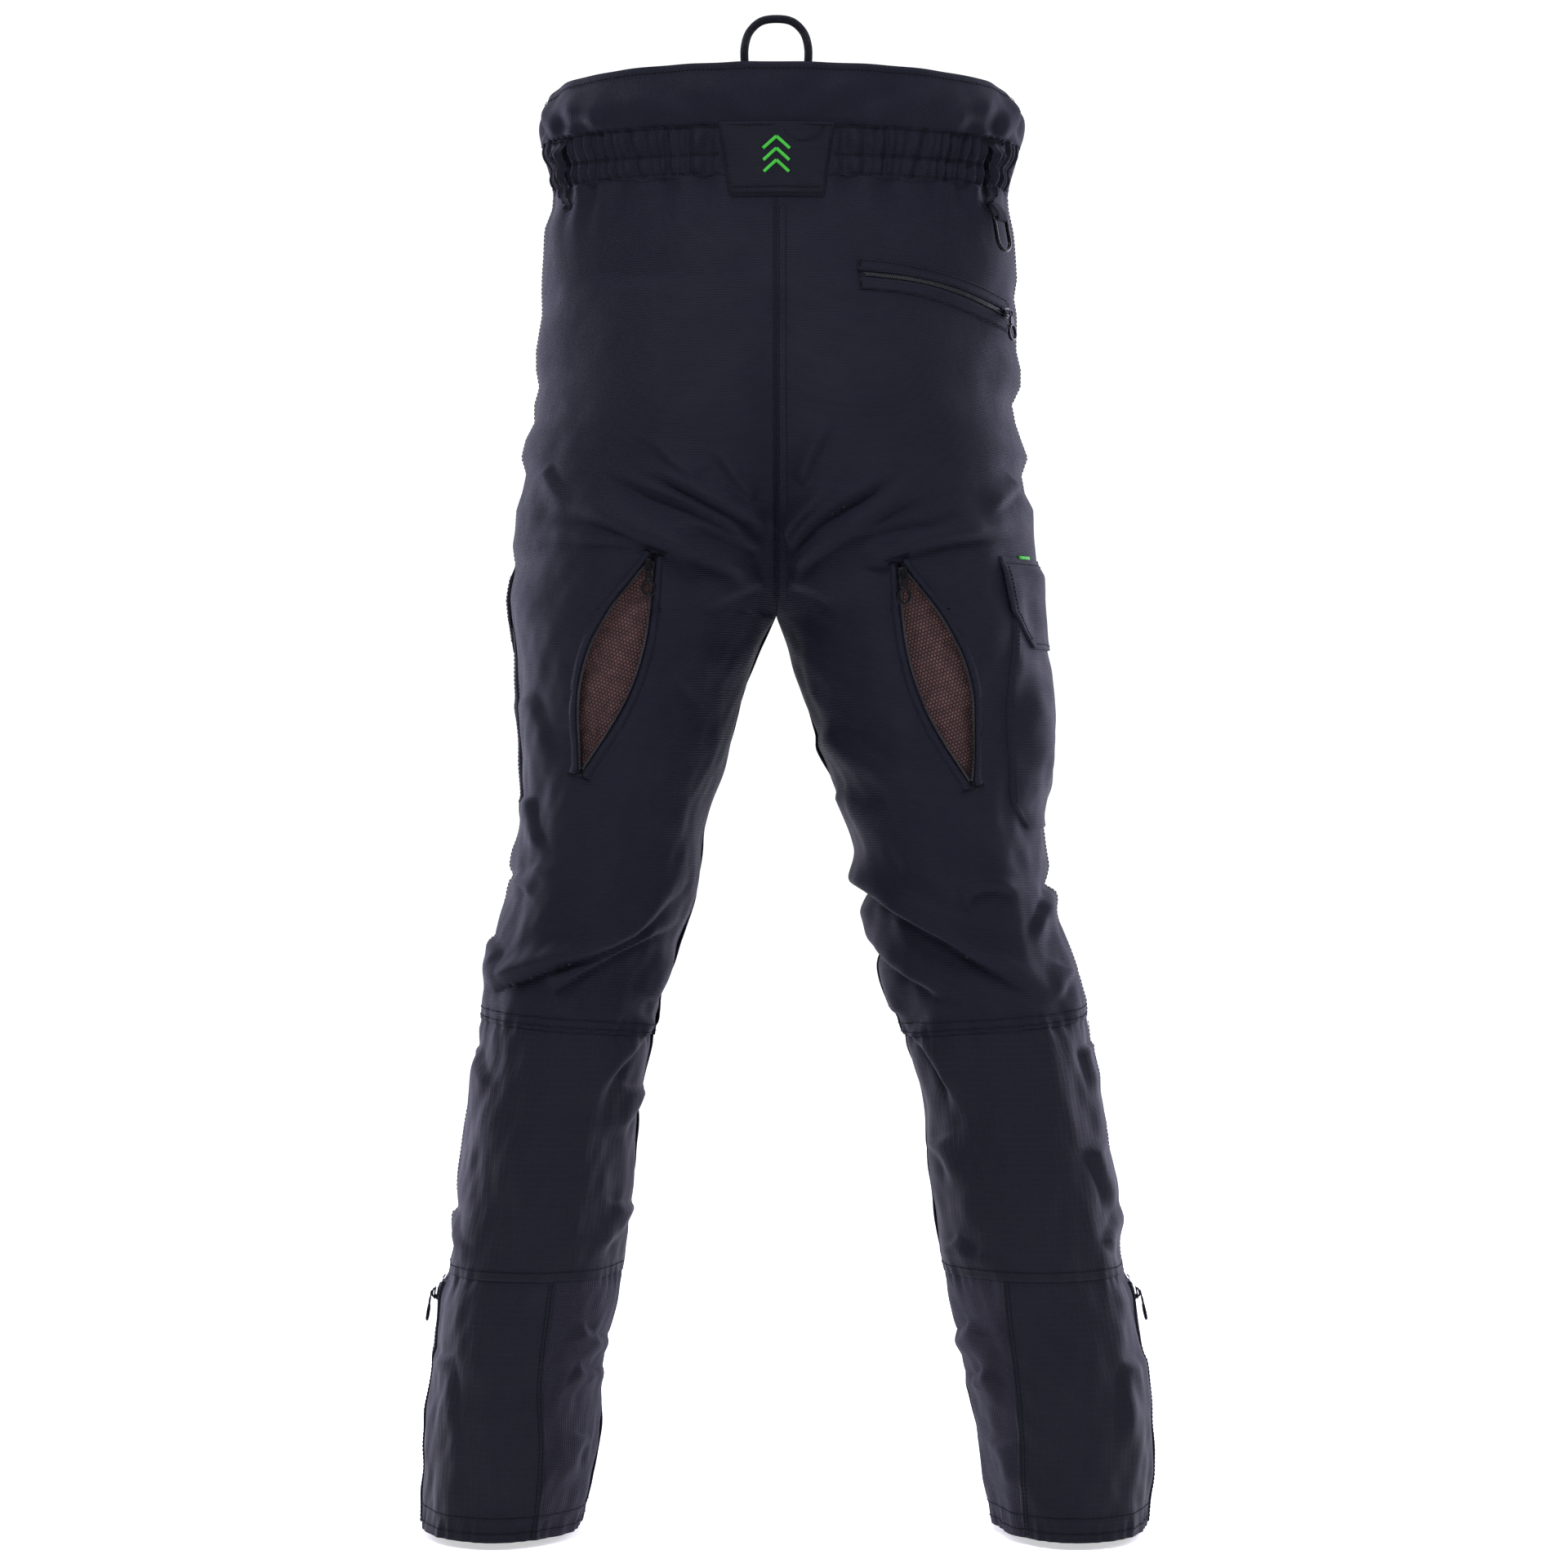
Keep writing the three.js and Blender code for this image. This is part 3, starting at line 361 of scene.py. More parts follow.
def relief(side, angle, z):
    """How far the cloth stands off the plain surface, in mm."""
    x = skin(side, angle, z)[..., 0]
    facing = np.sin(angle)  # 1 straight behind, -1 straight in front
    weight = {"back": smoothstep(facing, -0.55, 0.1), "front": smoothstep(-facing, -0.35, 0.2)}
    made = np.zeros(x.shape)
    flat_x, flat_z = x.ravel(), np.broadcast_to(z, x.shape).ravel()
    for face, points, height, width, trough in [(face, *fold) for face in FOLDS for fold in FOLDS[face]]:
        line = smooth_line(points)
        low, high = line.min(0) - 3.2 * width, line.max(0) + 3.2 * width
        near = np.flatnonzero((flat_x > low[0]) & (flat_x < high[0]) & (flat_z > low[1]) & (flat_z < high[1])
                              & (weight[face].ravel() > 0))
        if not len(near):
            continue
        d, share = to_line(flat_x[near], flat_z[near], line)
        fade = smoothstep(share, 0, 0.14) * smoothstep(share, 1, 0.6)
        ends = np.clip(share, 0.02, 0.98) == share
        wide = width * mix(1.2, 0.85, fade)
        across = d * np.sign(trough) if trough else d
        # a crest that falls off gently on one side and into a sharp crease on the other
        slope = np.where(across > 0, 0.7, 1.3) if trough else 1.0
        crest = np.exp(-(across / (wide * slope)) ** 2)
        dip = np.exp(-np.abs(across - 1.05 * wide) / (0.34 * wide))
        strength = 1.75 if trough else 1.0
        amount = strength * height * fade * (crest - abs(trough) * 0.62 * dip) * np.where(ends, 1, 0.5)
        made.ravel()[near] += amount * weight[face].ravel()[near]
    arc = angle * 125  # mm round the leg, about
    # soft unevenness, more of it on the legs than on the tight seat
    loose = smoothstep(z, -200, -420)
    apart = np.where(z > CROTCH, smoothstep(np.abs(x), 0, 32), 1)
    made += 0.9 * mix(0.35, 1, loose) * apart * waves(arc, z, 14, 55, 140, 3 + len(side))
    made += 0.3 * mix(0.4, 1, loose) * apart * waves(arc, z * 0.7, 16, 16, 42, 11 + len(side))
    heights, sizes = np.array(SIDE_BULGES[side], float).T
    made += np.interp(-z, -heights, sizes) * np.exp(-(angle / 0.55) ** 2)
    # shirred elastic behind: two tunnels with fine gathers
    behind = smoothstep(facing, 0.02, 0.2)
    in_elastic = smoothstep(z, WAIST_SEAM - 2, WAIST_SEAM + 3)
    in_elastic = in_elastic * smoothstep(z, ELASTIC_TOP + 2, ELASTIC_TOP - 2)
    upper = np.clip((ELASTIC_TOP - z) / (ELASTIC_TOP - ELASTIC_MIDDLE), 0, 1)
    lower = np.clip((ELASTIC_MIDDLE - z) / (ELASTIC_MIDDLE - WAIST_SEAM), 0, 1)
    tunnel = np.sin(np.pi * upper) + np.sin(np.pi * lower)
    phase = 0.9 * waves(arc, z * 0.25, 6, 30, 90, 21)
    gather = np.cos(math.tau * arc / 7.2 + phase * 2.4) + 0.6 * np.cos(math.tau * arc / 11.3 + phase * 1.7)
    gather = gather - 0.5 * np.exp(-((gather + 1.0) / 0.5) ** 2)
    behind = behind * smoothstep(np.abs(x), 41, 50)  # the patch lies flat over the middle
    made += behind * in_elastic * (3.0 * tunnel - 1.6 + 1.7 * gather * mix(0.4, 1, tunnel))
    # what the elastic gathers runs on into the seat below and the yoke above
    below = np.exp(-np.clip(WAIST_SEAM - z, 0, None) / 17) * (z <= WAIST_SEAM)
    above = np.exp(-np.clip(z - ELASTIC_TOP, 0, None) / 24) * (z >= ELASTIC_TOP)
    soft = waves(arc, z * 0.12, 10, 14, 34, 33)
    calm = 1 - 0.8 * smoothstep(z, 20, 46)
    made += behind * (1.9 * below + 1.6 * above * calm) * soft
    slack = smoothstep(z, ELASTIC_TOP, ELASTIC_TOP + 8) * calm * smoothstep(facing, 0.02, 0.2)
    made += 2.0 * slack * apart * waves(arc * 0.9 + z * 0.5, z * 0.6 - arc * 0.3, 8, 26, 60, 35)
    # puckers along the sewn seams
    knee = KNEE - KNEE_SLOPE * np.clip(np.abs(angle) / np.pi, 0, 1)
    for seam, size in ((knee, 0.45), (CALF_HEM, 0.4), (HEM + 6, 0.5)):
        made += size * np.exp(-((z - seam) / 9) ** 2) * waves(arc, z * 0.1, 8, 9, 20, 41)
    # the cloth lies flat under each slider and behind the ring
    for there, face, px, pz in QUIET:
        if there == side:
            distance = np.hypot(x - SIGN[side] * px, z - pz) + 40 * (facing * face < -0.2)
            made *= 1 - np.exp(-(distance / 15) ** 2)
    return made * (1 - np.exp(-(angle * 95 / 20) ** 2 - ((z - (ANKLE_TOP - 2)) / 22) ** 2))


# the angles and heights at which the relief is worked out, a little past the top edge and the hem
ANGLES = np.linspace(-np.pi, np.pi, 421)
HEIGHTS = np.linspace(80, -1122, 482)


def cubic(t):
    """The four weights of a Catmull-Rom curve at t."""
    return np.stack([
        -0.5 * t + t ** 2 - 0.5 * t ** 3,
        1 - 2.5 * t ** 2 + 1.5 * t ** 3,
        0.5 * t + 2 * t ** 2 - 1.5 * t ** 3,
        -0.5 * t ** 2 + 0.5 * t ** 3,
    ])


def build_offsets(side):
    angle, z = np.meshgrid(ANGLES, HEIGHTS)
    made = outward(side, angle, z) * relief(side, angle, z)[..., None]
    # the halves meet at the middle of the body
    x = np.abs(skin(side, angle, z)[..., 0])
    made[..., 0] *= np.where(z > CROTCH, smoothstep(x, 0, 10), 1)
    return made


OFFSETS = {side: build_offsets(side) for side in SIDES}


def offset(side, angle, z):
    """The folds' offset. A sheet that crosses the middle takes the other half's folds there."""
    over = (np.abs(angle) > np.pi / 2 + 1e-6) & (z > -100)
    made = look_up(side, angle, z)
    if over.any():
        other = look_up("left" if side == "right" else "right", np.sign(angle) * (np.pi - np.abs(angle)), z)
        made = np.where(over[..., None], other, made)
    return made


def look_up(side, angle, z):
    field = OFFSETS[side]
    a = np.clip((angle - ANGLES[0]) / (ANGLES[1] - ANGLES[0]), 0, len(ANGLES) - 1.001)
    h = np.clip((HEIGHTS[0] - z) / (HEIGHTS[0] - HEIGHTS[1]), 0, len(HEIGHTS) - 1.001)
    i, j = a.astype(int), h.astype(int)
    wa, wh = cubic(a - i), cubic(h - j)
    made = 0
    for m in range(4):
        row = np.clip(j + m - 1, 0, len(HEIGHTS) - 1)
        for n in range(4):
            column = np.clip(i + n - 1, 0, len(ANGLES) - 1)
            made = made + (wh[m] * wa[n])[..., None] * field[row, column]
    return made


def surface(side, angle, z, lift=0.0):
    """A point of the folded cloth, or above it by the lift."""
    angle, z, lift = np.broadcast_arrays(*(np.asarray(v, float) for v in (angle, z, lift)))
    made = skin(side, angle, z) + offset(side, angle, z)
    if np.any(lift):
        made = made + outward(side, angle, z) * lift[..., None]
    return made


# ---------------------------------------------------------------- meshes
def placed(thing):
    """Puts an object in the scene."""
    bpy.context.scene.collection.objects.link(thing)
    return thing


class Build:
    """Vertices and faces gathered for one piece."""

    def __init__(self):
        self.points, self.faces, self.uvs, self.count = [], [], [], 0

    def add(self, points, faces, uv=None):
        points = np.asarray(points, float).reshape(-1, 3)
        faces = np.asarray(faces, int)
        self.points.append(points)
        self.faces.append(faces + self.count)
        self.uvs.append(np.zeros((len(points), 2)) if uv is None else np.asarray(uv, float).reshape(-1, 2))
        self.count += len(points)

    def grid(self, points, uv=None, flip=False, wrap=False, keep=None):
        """A grid of rows and columns. Wrap joins its last column to the first, and keep, where given, says
        which points are kept."""
        rows, cols = points.shape[:2]
        at = np.arange(rows * cols).reshape(rows, cols)
        if wrap:
            at = np.hstack([at, at[:, :1]])
        quads = np.stack([at[:-1, :-1], at[1:, :-1], at[1:, 1:], at[:-1, 1:]], -1).reshape(-1, 4)
        if keep is not None:
            quads = quads[keep.ravel()[quads].all(1)]
        self.add(points, quads[:, ::-1] if flip else quads, uv)

    def sheet(self, side, spot, across, down, lift=0.0, turned=1.2, cut=None):
        """A piece of cloth on the surface; cut(points) says where it is cut away."""
        points, uv = sheet_points(side, spot, across, down, lift, turned)
        self.grid(points, uv, faces_in(points, side, spot), keep=None if cut is None else ~cut(points))
        return self

    def piece(self, name, look, slot, body="trousers", smooth=True, node=None):
        """The finished piece, on its body where it has one, in place of the CAD node where one is named."""
        points = np.vstack(self.points) / 1000
        uvs = np.vstack(self.uvs) / 1000
        faces = [row for block in self.faces for row in block.tolist()]
        mesh = bpy.data.meshes.new(name)
        mesh.from_pydata(points.tolist(), [], faces)
        mesh.polygons.foreach_set("use_smooth", np.full(len(mesh.polygons), smooth))
        layer = mesh.uv_layers.new(name="cloth")
        corners = np.empty(len(mesh.loops), int)
        mesh.loops.foreach_get("vertex_index", corners)
        layer.data.foreach_set("uv", uvs[corners].ravel())
        mesh.materials.append(look)
        made = placed(bpy.data.objects.new(name, mesh))
        if body:
            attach(made, body)
        if node:
            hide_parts(node)
        return made


def arcs(points):
    """The length along each row of a grid."""
    steps = np.linalg.norm(np.diff(points, axis=1), axis=-1)
    return np.hstack([np.zeros((len(points), 1)), np.cumsum(steps, axis=1)])


def sheet_points(side, spot, across, down, lift=0.0, turned=1.2):
    """A piece of cloth with turned edges. spot(s, t) gives angles and heights; the lift may be a
    function of them. Returns its grid and texture coordinates."""
    s, t = np.meshgrid(np.linspace(0, 1, across + 1), np.linspace(0, 1, down + 1))
    angle, z = spot(s, t)
    rise = lift(s, t) if callable(lift) else np.full(s.shape, float(lift))
    points = surface(side, angle, z, rise)
    uv = np.stack([arcs(points), z], -1)
    if turned:
        rim = lambda v: np.pad(v, 1, mode="edge")
        drop = np.pad(np.zeros(s.shape), 1, constant_values=turned)
        points = surface(side, rim(angle), rim(z), rim(rise) - drop)
        uv = np.stack([rim(uv[..., 0]), rim(uv[..., 1])], -1)
    return points, uv


def cloth(node, side, spot, across, down, look, slot, lift=0.0, turned=1.2, body="trousers", cut=None):
    made = Build().sheet(side, spot, across, down, lift, turned, cut)
    return made.piece(f"{node}_cloth", look, slot, body, node=node)


def faces_in(points, side, spot):
    """Whether a grid's faces would point into the body."""
    j, i = points.shape[0] // 2, points.shape[1] // 2
    normal = np.cross(points[j + 1, i] - points[j, i], points[j, i + 1] - points[j, i])
    angle, z = spot(np.array([(i - 0.5) / points.shape[1]]), np.array([(j - 0.5) / points.shape[0]]))
    return float(normal @ outward(side, angle, z)[0]) < 0


# ---------------------------------------------------------------- materials
def srgb(*rgb):
    shares = [v / 255 for v in rgb]
    return (*(c / 12.92 if c <= 0.04045 else ((c + 0.055) / 1.055) ** 2.4 for c in shares), 1)


class Look:
    """A material's nodes, made one after another."""

    def __init__(self, name, colour, roughness, sheen=0.0, metallic=0.0, specular=0.5):
        self.material = bpy.data.materials.new(name)
        self.material.use_nodes = True
        self.tree = self.material.node_tree
        self.shader = self.tree.nodes["Principled BSDF"]
        inputs = self.shader.inputs
        inputs["Base Color"].default_value = srgb(*colour)
        inputs["Roughness"].default_value = roughness
        inputs["Metallic"].default_value = metallic
        inputs["Specular IOR Level"].default_value = specular
        inputs["Sheen Weight"].default_value = sheen
        inputs["Sheen Roughness"].default_value = 0.35
        inputs["Sheen Tint"].default_value = srgb(205, 200, 240)
        self.colour = colour
        self.material.diffuse_color = srgb(*colour)
        self.heights = []

    def node(self, kind, **values):
        made = self.tree.nodes.new(kind)
        for key, value in values.items():
            if key in made.inputs:
                made.inputs[key].default_value = value
            else:
                setattr(made, key, value)
        return made

    def link(self, a, out, b, into):
        self.tree.links.new(a.outputs[out], b.inputs[into])

    def place(self, stretch=(1, 1, 1), turn=0.0, by="UV"):
        """Texture coordinates in metres along the cloth, or in the object's own space."""
        where = self.node("ShaderNodeTexCoord")
        made = self.node("ShaderNodeMapping")
        made.inputs["Scale"].default_value = stretch
        made.inputs["Rotation"].default_value = (0, 0, turn)
        self.link(where, by, made, "Vector")
        return made

    def bands(self, pitch, turn=0.0, distort=0.0, by="UV"):
        """Soft ribs across the cloth at a pitch in mm, 0 to 1."""
        made = self.node("ShaderNodeTexWave", wave_type="BANDS", bands_direction="Y", wave_profile="SIN")
        made.inputs["Scale"].default_value = math.tau / (20 * pitch / 1000)
        made.inputs["Distortion"].default_value = distort
        made.inputs["Detail"].default_value = 1
        made.inputs["Detail Scale"].default_value = 2
        self.link(self.place(turn=turn, by=by), "Vector", made, "Vector")
        return made, "Fac"

    def noise(self, size, stretch=(1, 1, 1), detail=3, by="Object"):
        made = self.node("ShaderNodeTexNoise", Scale=1000 / size, Detail=detail)
        self.link(self.place(stretch, by=by), "Vector", made, "Vector")
        return made, "Fac"

    def ramp(self, source, *stops):
        made = self.node("ShaderNodeValToRGB")
        while len(made.color_ramp.elements) < len(stops):
            made.color_ramp.elements.new(0.5)
        for element, (at, value) in zip(made.color_ramp.elements, stops):
            element.position = at
            element.color = value if hasattr(value, "__len__") else (value, value, value, 1)
        self.link(source[0], source[1], made, "Fac")
        return made, "Color"

    def tone(self, source, low, high):
        """Colours the cloth from the low share of its colour to the high one by the source."""
        dark = tuple(c * low for c in srgb(*self.colour)[:3]) + (1,)
        light = tuple(min(1, c * high) for c in srgb(*self.colour)[:3]) + (1,)
        made = self.ramp(source, (0.15, dark), (0.85, light))
        if self.shader.inputs["Base Color"].is_linked:
            before = self.shader.inputs["Base Color"].links[0].from_socket
            both = self.node("ShaderNodeMix", data_type="RGBA", blend_type="MIX")
            both.inputs["Factor"].default_value = 0.5
            self.tree.links.new(before, both.inputs["A"])
            self.tree.links.new(made[0].outputs["Color"], both.inputs["B"])
            self.tree.links.new(both.outputs["Result"], self.shader.inputs["Base Color"])
        else:
            self.link(made[0], made[1], self.shader, "Base Color")
        return self

    def bump(self, source, distance):
        """Raises the surface by the source, at most by the distance in mm."""
        made = self.node("ShaderNodeBump")
        made.inputs["Distance"].default_value = distance / 1000
        made.inputs["Strength"].default_value = 1
        self.link(source[0], source[1], made, "Height")
        if self.heights:
            self.link(self.heights[-1], "Normal", made, "Normal")
        self.heights.append(made)
        self.link(made, "Normal", self.shader, "Normal")
        return self

    def rough(self, source, low, high):
        made = self.ramp(source, (0.2, low), (0.8, high))
        self.link(made[0], made[1], self.shader, "Roughness")
        return self


def ribbed_cloth(name, colour, turn=0.0, pitch=1.35):
    look = Look(name, colour, 0.62, sheen=0.035, specular=0.1)
    ribs = look.bands(pitch, turn, distort=0.25)
    look.tone(ribs, 0.62, 1.4)
    look.tone(look.noise(26, detail=4), 0.82, 1.2)
    look.bump(look.noise(0.9, stretch=(1, 1, 0.4), detail=2), 0.10)
    look.bump(ribs, 0.3)
    look.bump(look.noise(18, stretch=(1, 1, 0.6), detail=2), 0.5)
    look.rough(look.noise(40), 0.6, 0.74)
    return look.material


def ripstop_cloth(name, colour):
    look = Look(name, colour, 0.62, sheen=0.035, specular=0.1)
    across, down = (look.ramp(look.bands(5.2, turn), (0.90, 0.0), (0.97, 1.0)) for turn in (0, math.pi / 2))
    grid = look.node("ShaderNodeMix", data_type="RGBA", blend_type="LIGHTEN")
    grid.inputs["Factor"].default_value = 1
    look.tree.links.new(across[0].outputs["Color"], grid.inputs["A"])
    look.tree.links.new(down[0].outputs["Color"], grid.inputs["B"])
    cells = (grid, "Result")
    look.tone(look.noise(2.2, stretch=(1, 1, 3), detail=3), 0.82, 1.2)
    look.tone(cells, 0.9, 1.3)
    look.bump(look.noise(0.7, detail=2), 0.08)
    look.bump(cells, 0.12)
    look.bump(look.noise(24, detail=2), 0.5)
    look.rough(look.noise(30), 0.6, 0.72)
    return look.material


def knit_cloth(name, colour, pitch=2.0):
    look = Look(name, colour, 0.75, sheen=0.07, specular=0.09)
    rows, wales = look.bands(pitch), look.bands(pitch, math.pi / 2)
    look.tone(rows, 0.7, 1.35)
    look.tone(wales, 0.75, 1.25)
    look.bump(rows, 0.28)
    look.bump(wales, 0.28)
    look.bump(look.noise(10), 0.5)
    return look.material


def plain_look(name, colour, roughness, metallic=0.0, grain=0.6, depth=0.05, sheen=0.0, spread=(0.85, 1.2),
               specular=0.5):
    """Moulded plastic, lacquered metal or thread, with a fine grain and worn tones."""
    look = Look(name, colour, roughness, sheen=sheen, metallic=metallic, specular=specular)
    look.tone(look.noise(7, detail=4), *spread)
    look.bump(look.noise(grain, detail=3), depth)
    look.rough(look.noise(4), roughness * 0.8, min(1, roughness * 1.25))
    return look.material


NAVY = (15, 16, 26)
UPPER = ribbed_cloth("upper_cloth", NAVY)
UPRIGHT = ribbed_cloth("yoke_cloth", NAVY, turn=math.pi / 2, pitch=1.5)
TRIM = ribbed_cloth("trim_cloth", (15, 16, 24), pitch=0.9)
RIPSTOP = ripstop_cloth("ripstop_cloth", (17, 18, 25))
STRETCH = knit_cloth("stretch_knit", (27, 26, 34))
ELASTIC = ribbed_cloth("elastic_cloth", (15, 16, 25), pitch=1.05)
LINING = knit_cloth("lining_knit", (58, 60, 68), pitch=2.6)
# stitching thread: its colour is painted shade, darker than the cloth so that the stitch rows show as the
# shadow lines along the seams
SEAM_SHADE_THREAD = plain_look("thread", (10, 11, 17), 0.75, sheen=0.02, grain=0.4, specular=0.1)
BLACK_METAL = plain_look("black_metal", (14, 14, 17), 0.3, metallic=0.85, grain=1.2, depth=0.03)
ZIP_PLASTIC = plain_look("zip_plastic", (15, 15, 19), 0.38, grain=0.8)
NETTING = plain_look("netting", (22, 18, 22), 0.7, sheen=0.05, grain=0.4, specular=0.2)
NET_BACK = plain_look("net_backing", (134, 94, 86), 0.85, sheen=0.05, specular=0.2, grain=1.0, depth=0.2,
                      spread=(0.3, 1.5))
PADDING = knit_cloth("padding_cover", (196, 190, 176), pitch=3.0)
CORD_LOOK = ribbed_cloth("cord_braid", (16, 17, 24), turn=0.6, pitch=1.2)
GREEN = plain_look("green_print", (52, 150, 44), 0.7, grain=0.7, depth=0.08, specular=0.2)


# ---------------------------------------------------------------- camera, light, floor
def light(name, place, target, size, power, colour=(255, 255, 255)):
    data = bpy.data.lights.new(name, "AREA")
    data.shape = "RECTANGLE"
    data.size, data.size_y = size
    data.energy = power
    data.color = srgb(*colour)[:3]
    made = placed(bpy.data.objects.new(name, data))
    made.location = place
    made.rotation_euler = (Vector(target) - made.location).to_track_quat("-Z", "Y").to_euler()


centre = Vector(((CAD_BOX[0][0] + CAD_BOX[1][0]) / 2, 0, (CAD_BOX[0][2] + CAD_BOX[1][2]) / 2))
camera_data = bpy.data.cameras.new("camera")
camera_data.lens, camera_data.sensor_width = 84.6, 36
camera = placed(bpy.data.objects.new("camera", camera_data))
camera.location = (0.006, -3.0, -0.514)
camera.rotation_euler = (math.pi / 2, 0, 0)
bpy.context.scene.camera = camera

light("key", (-0.45, -1.5, 1.8), (0, -0.1, -0.5), (0.5, 0.5), 62, (236, 238, 255))
light("fill", (1.7, -1.9, 0.9), centre, (1.0, 1.2), 20, (236, 238, 255))
light("rim_left", (-1.9, 1.3, -0.3), centre, (0.8, 2.4), 70, (226, 220, 255))
light("rim_right", (1.9, 1.3, -0.3), centre, (0.8, 2.4), 70, (226, 220, 255))
light("top", (0, 0.2, 1.8), centre, (1.6, 1.6), 30)

world = bpy.data.worlds.new("studio")
bpy.context.scene.world = world
world.use_nodes = True
# the backdrop looks white, and its light is strongest on the front of the trousers, away from the camera
sky = world.node_tree
lit = sky.nodes["Background"]
lit.inputs["Color"].default_value = (0.94, 0.95, 1.0, 1)
facing = sky.nodes.new("ShaderNodeTexCoord")
parts = sky.nodes.new("ShaderNodeSeparateXYZ")
glow = sky.nodes.new("ShaderNodeMapRange")
glow.inputs["From Min"].default_value = -0.7
glow.inputs["From Max"].default_value = 0.8
glow.inputs["To Min"].default_value = 0.16
glow.inputs["To Max"].default_value = 1.15
sky.links.new(facing.outputs["Generated"], parts.inputs[0])
sky.links.new(parts.outputs["Y"], glow.inputs["Value"])
sky.links.new(glow.outputs[0], lit.inputs["Strength"])
seen = sky.nodes.new("ShaderNodeBackground")
seen.inputs["Color"].default_value = (1, 1, 1, 1)
seen.inputs["Strength"].default_value = 1.1
rays = sky.nodes.new("ShaderNodeLightPath")
either = sky.nodes.new("ShaderNodeMixShader")
sky.links.new(rays.outputs["Is Camera Ray"], either.inputs[0])
sky.links.new(lit.outputs[0], either.inputs[1])
sky.links.new(seen.outputs[0], either.inputs[2])
sky.links.new(either.outputs[0], sky.nodes["World Output"].inputs["Surface"])

floor_look = Look("floor", (250, 250, 252), 0.9)
floor_look.bump(floor_look.noise(60), 0.2)
floor_look.shader.inputs["Emission Color"].default_value = (1, 1, 1, 1)
floor_look.shader.inputs["Emission Strength"].default_value = 0.5
floor_mesh = bpy.data.meshes.new("floor")
FLOOR = {"reach": 14, "height": -1.121}  # m
floor_mesh.from_pydata([(x * FLOOR["reach"], y * FLOOR["reach"], FLOOR["height"])
                        for x, y in ((-1, -1), (1, -1), (1, 1), (-1, 1))], [], [(0, 1, 2, 3)])
floor_mesh.materials.append(floor_look.material)
floor = placed(bpy.data.objects.new("floor", floor_mesh))

# ---------------------------------------------------------------- hanging loop, a cord sewn in at both ends
HANGER = {"diameter": 6.5, "span": 50, "rise": 36, "buried": 12, "lean": 4, "gap": 2}


def hanger_points():
    back = (skin("right", np.array([np.pi / 2]), np.array([float(YOKE_TOP)]))[0, 1] + CLOTH
            + HANGER["diameter"] / 2 + HANGER["gap"])
    half, rise, buried, lean = HANGER["span"] / 2, HANGER["rise"], HANGER["buried"], HANGER["lean"]
    foot = [(-half, 0, -buried), (-half, 0, 0), (-half, 0, rise * 0.35), (-half * 0.86, lean, rise * 0.7),
            (-half * 0.5, lean, rise * 0.94)]
    knots = foot + [(0, lean, rise)] + [(-x, y, z) for x, y, z in reversed(foot)]
    return np.array([(x, back + y, YOKE_TOP + z) for x, y, z in knots])


hanger_line = smooth_line(hanger_points(), 3.0) / 1000
curve = bpy.data.curves.new("hanging_loop_cord", "CURVE")
curve.dimensions = "3D"
curve.bevel_depth = HANGER["diameter"] / 2000
curve.bevel_resolution = 5
spline = curve.splines.new("POLY")
spline.points.add(len(hanger_line) - 1)
spline.points.foreach_set("co", np.hstack([hanger_line, np.ones((len(hanger_line), 1))]).ravel())
curve.materials.append(CORD_LOOK)
hanging_loop = placed(bpy.data.objects.new("hanging_loop_cord", curve))
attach(hanging_loop, "trousers")
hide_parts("hanging_loop")

# ---------------------------------------------------------------- the shell
UNDER = -1.1  # a layer that goes in under its neighbour
SEAM_OVERLAP = 0.06  # radians that a front panel reaches past the side seam
PANEL_WIDTH = 250  # mm, about; it sets the number of columns
GRID = {1: 2.3, -1: 3.4}  # mm between the points of a panel behind and in front


def vent_middle(side, t):
    (x0, z0), (x1, z1) = VENT_TOP[side], VENT_FOOT[side]
    return mix(x0, x1, t) + VENT_BOW * np.sin(np.pi * np.clip(t, 0, 1)), mix(z0, z1, t)


def vent_direction(side):
    """How far a vent runs sideways and down, and its length."""
    (x0, z0), (x1, z1) = VENT_TOP[side], VENT_FOOT[side]
    return x1 - x0, z0 - z1, math.hypot(x1 - x0, z1 - z0)


def opening(t):
    return VENT_SHUT + (VENT_OPEN - VENT_SHUT) * np.sin(np.pi * np.clip(t, 0, 1))


def vent_spot(side, t, across):
    """The angle and height of a point beside the vent's middle line."""
    run, fall, long = vent_direction(side)
    x, z = vent_middle(side, t)
    px, pz = x + fall / long * across, z + run / long * across
    return angle_at(side, px, pz), pz


def in_vent(side, points, room):
    """Which points lie in the vent's opening, or within the room beside it."""
    run, fall, long = vent_direction(side)
    x, z = points[..., 0] * SIGN[side], points[..., 2]
    t = ((x - VENT_TOP[side][0]) * run - (z - VENT_TOP[side][1]) * fall) / long ** 2
    mx, mz = vent_middle(side, t)
    across = (x - mx) * fall / long + (z - mz) * run / long
    return (np.abs(across) < opening(t) + room) & (t > -0.02) & (t < 1.02) & (points[..., 1] < 20)


def panel(node, side, facing, top, foot, look, slot, lift=0.0, cut=None, inner=None, outer=None):
    """A tall panel behind (facing 1) or in front (-1), from the side seam to the middle."""
    start = outer or (lambda z: np.full(np.shape(z), 0.0 if facing > 0 else SEAM_OVERLAP))
    end = inner or (lambda z: facing * middle_angle(side, z))
    first = np.array([0.0])
    tall = float((top(first) - foot(first))[0])

    def spot(s, t):
        z = mix(top(s), foot(s), t)
        return mix(start(z), end(z), s), z

    across, down = int(PANEL_WIDTH / GRID[facing]), int(tall / GRID[facing])
    cloth(node, side, spot, across, down, look, slot, lift, cut=cut)


def knee_line(s):
    return KNEE - KNEE_SLOPE * np.asarray(s, float)


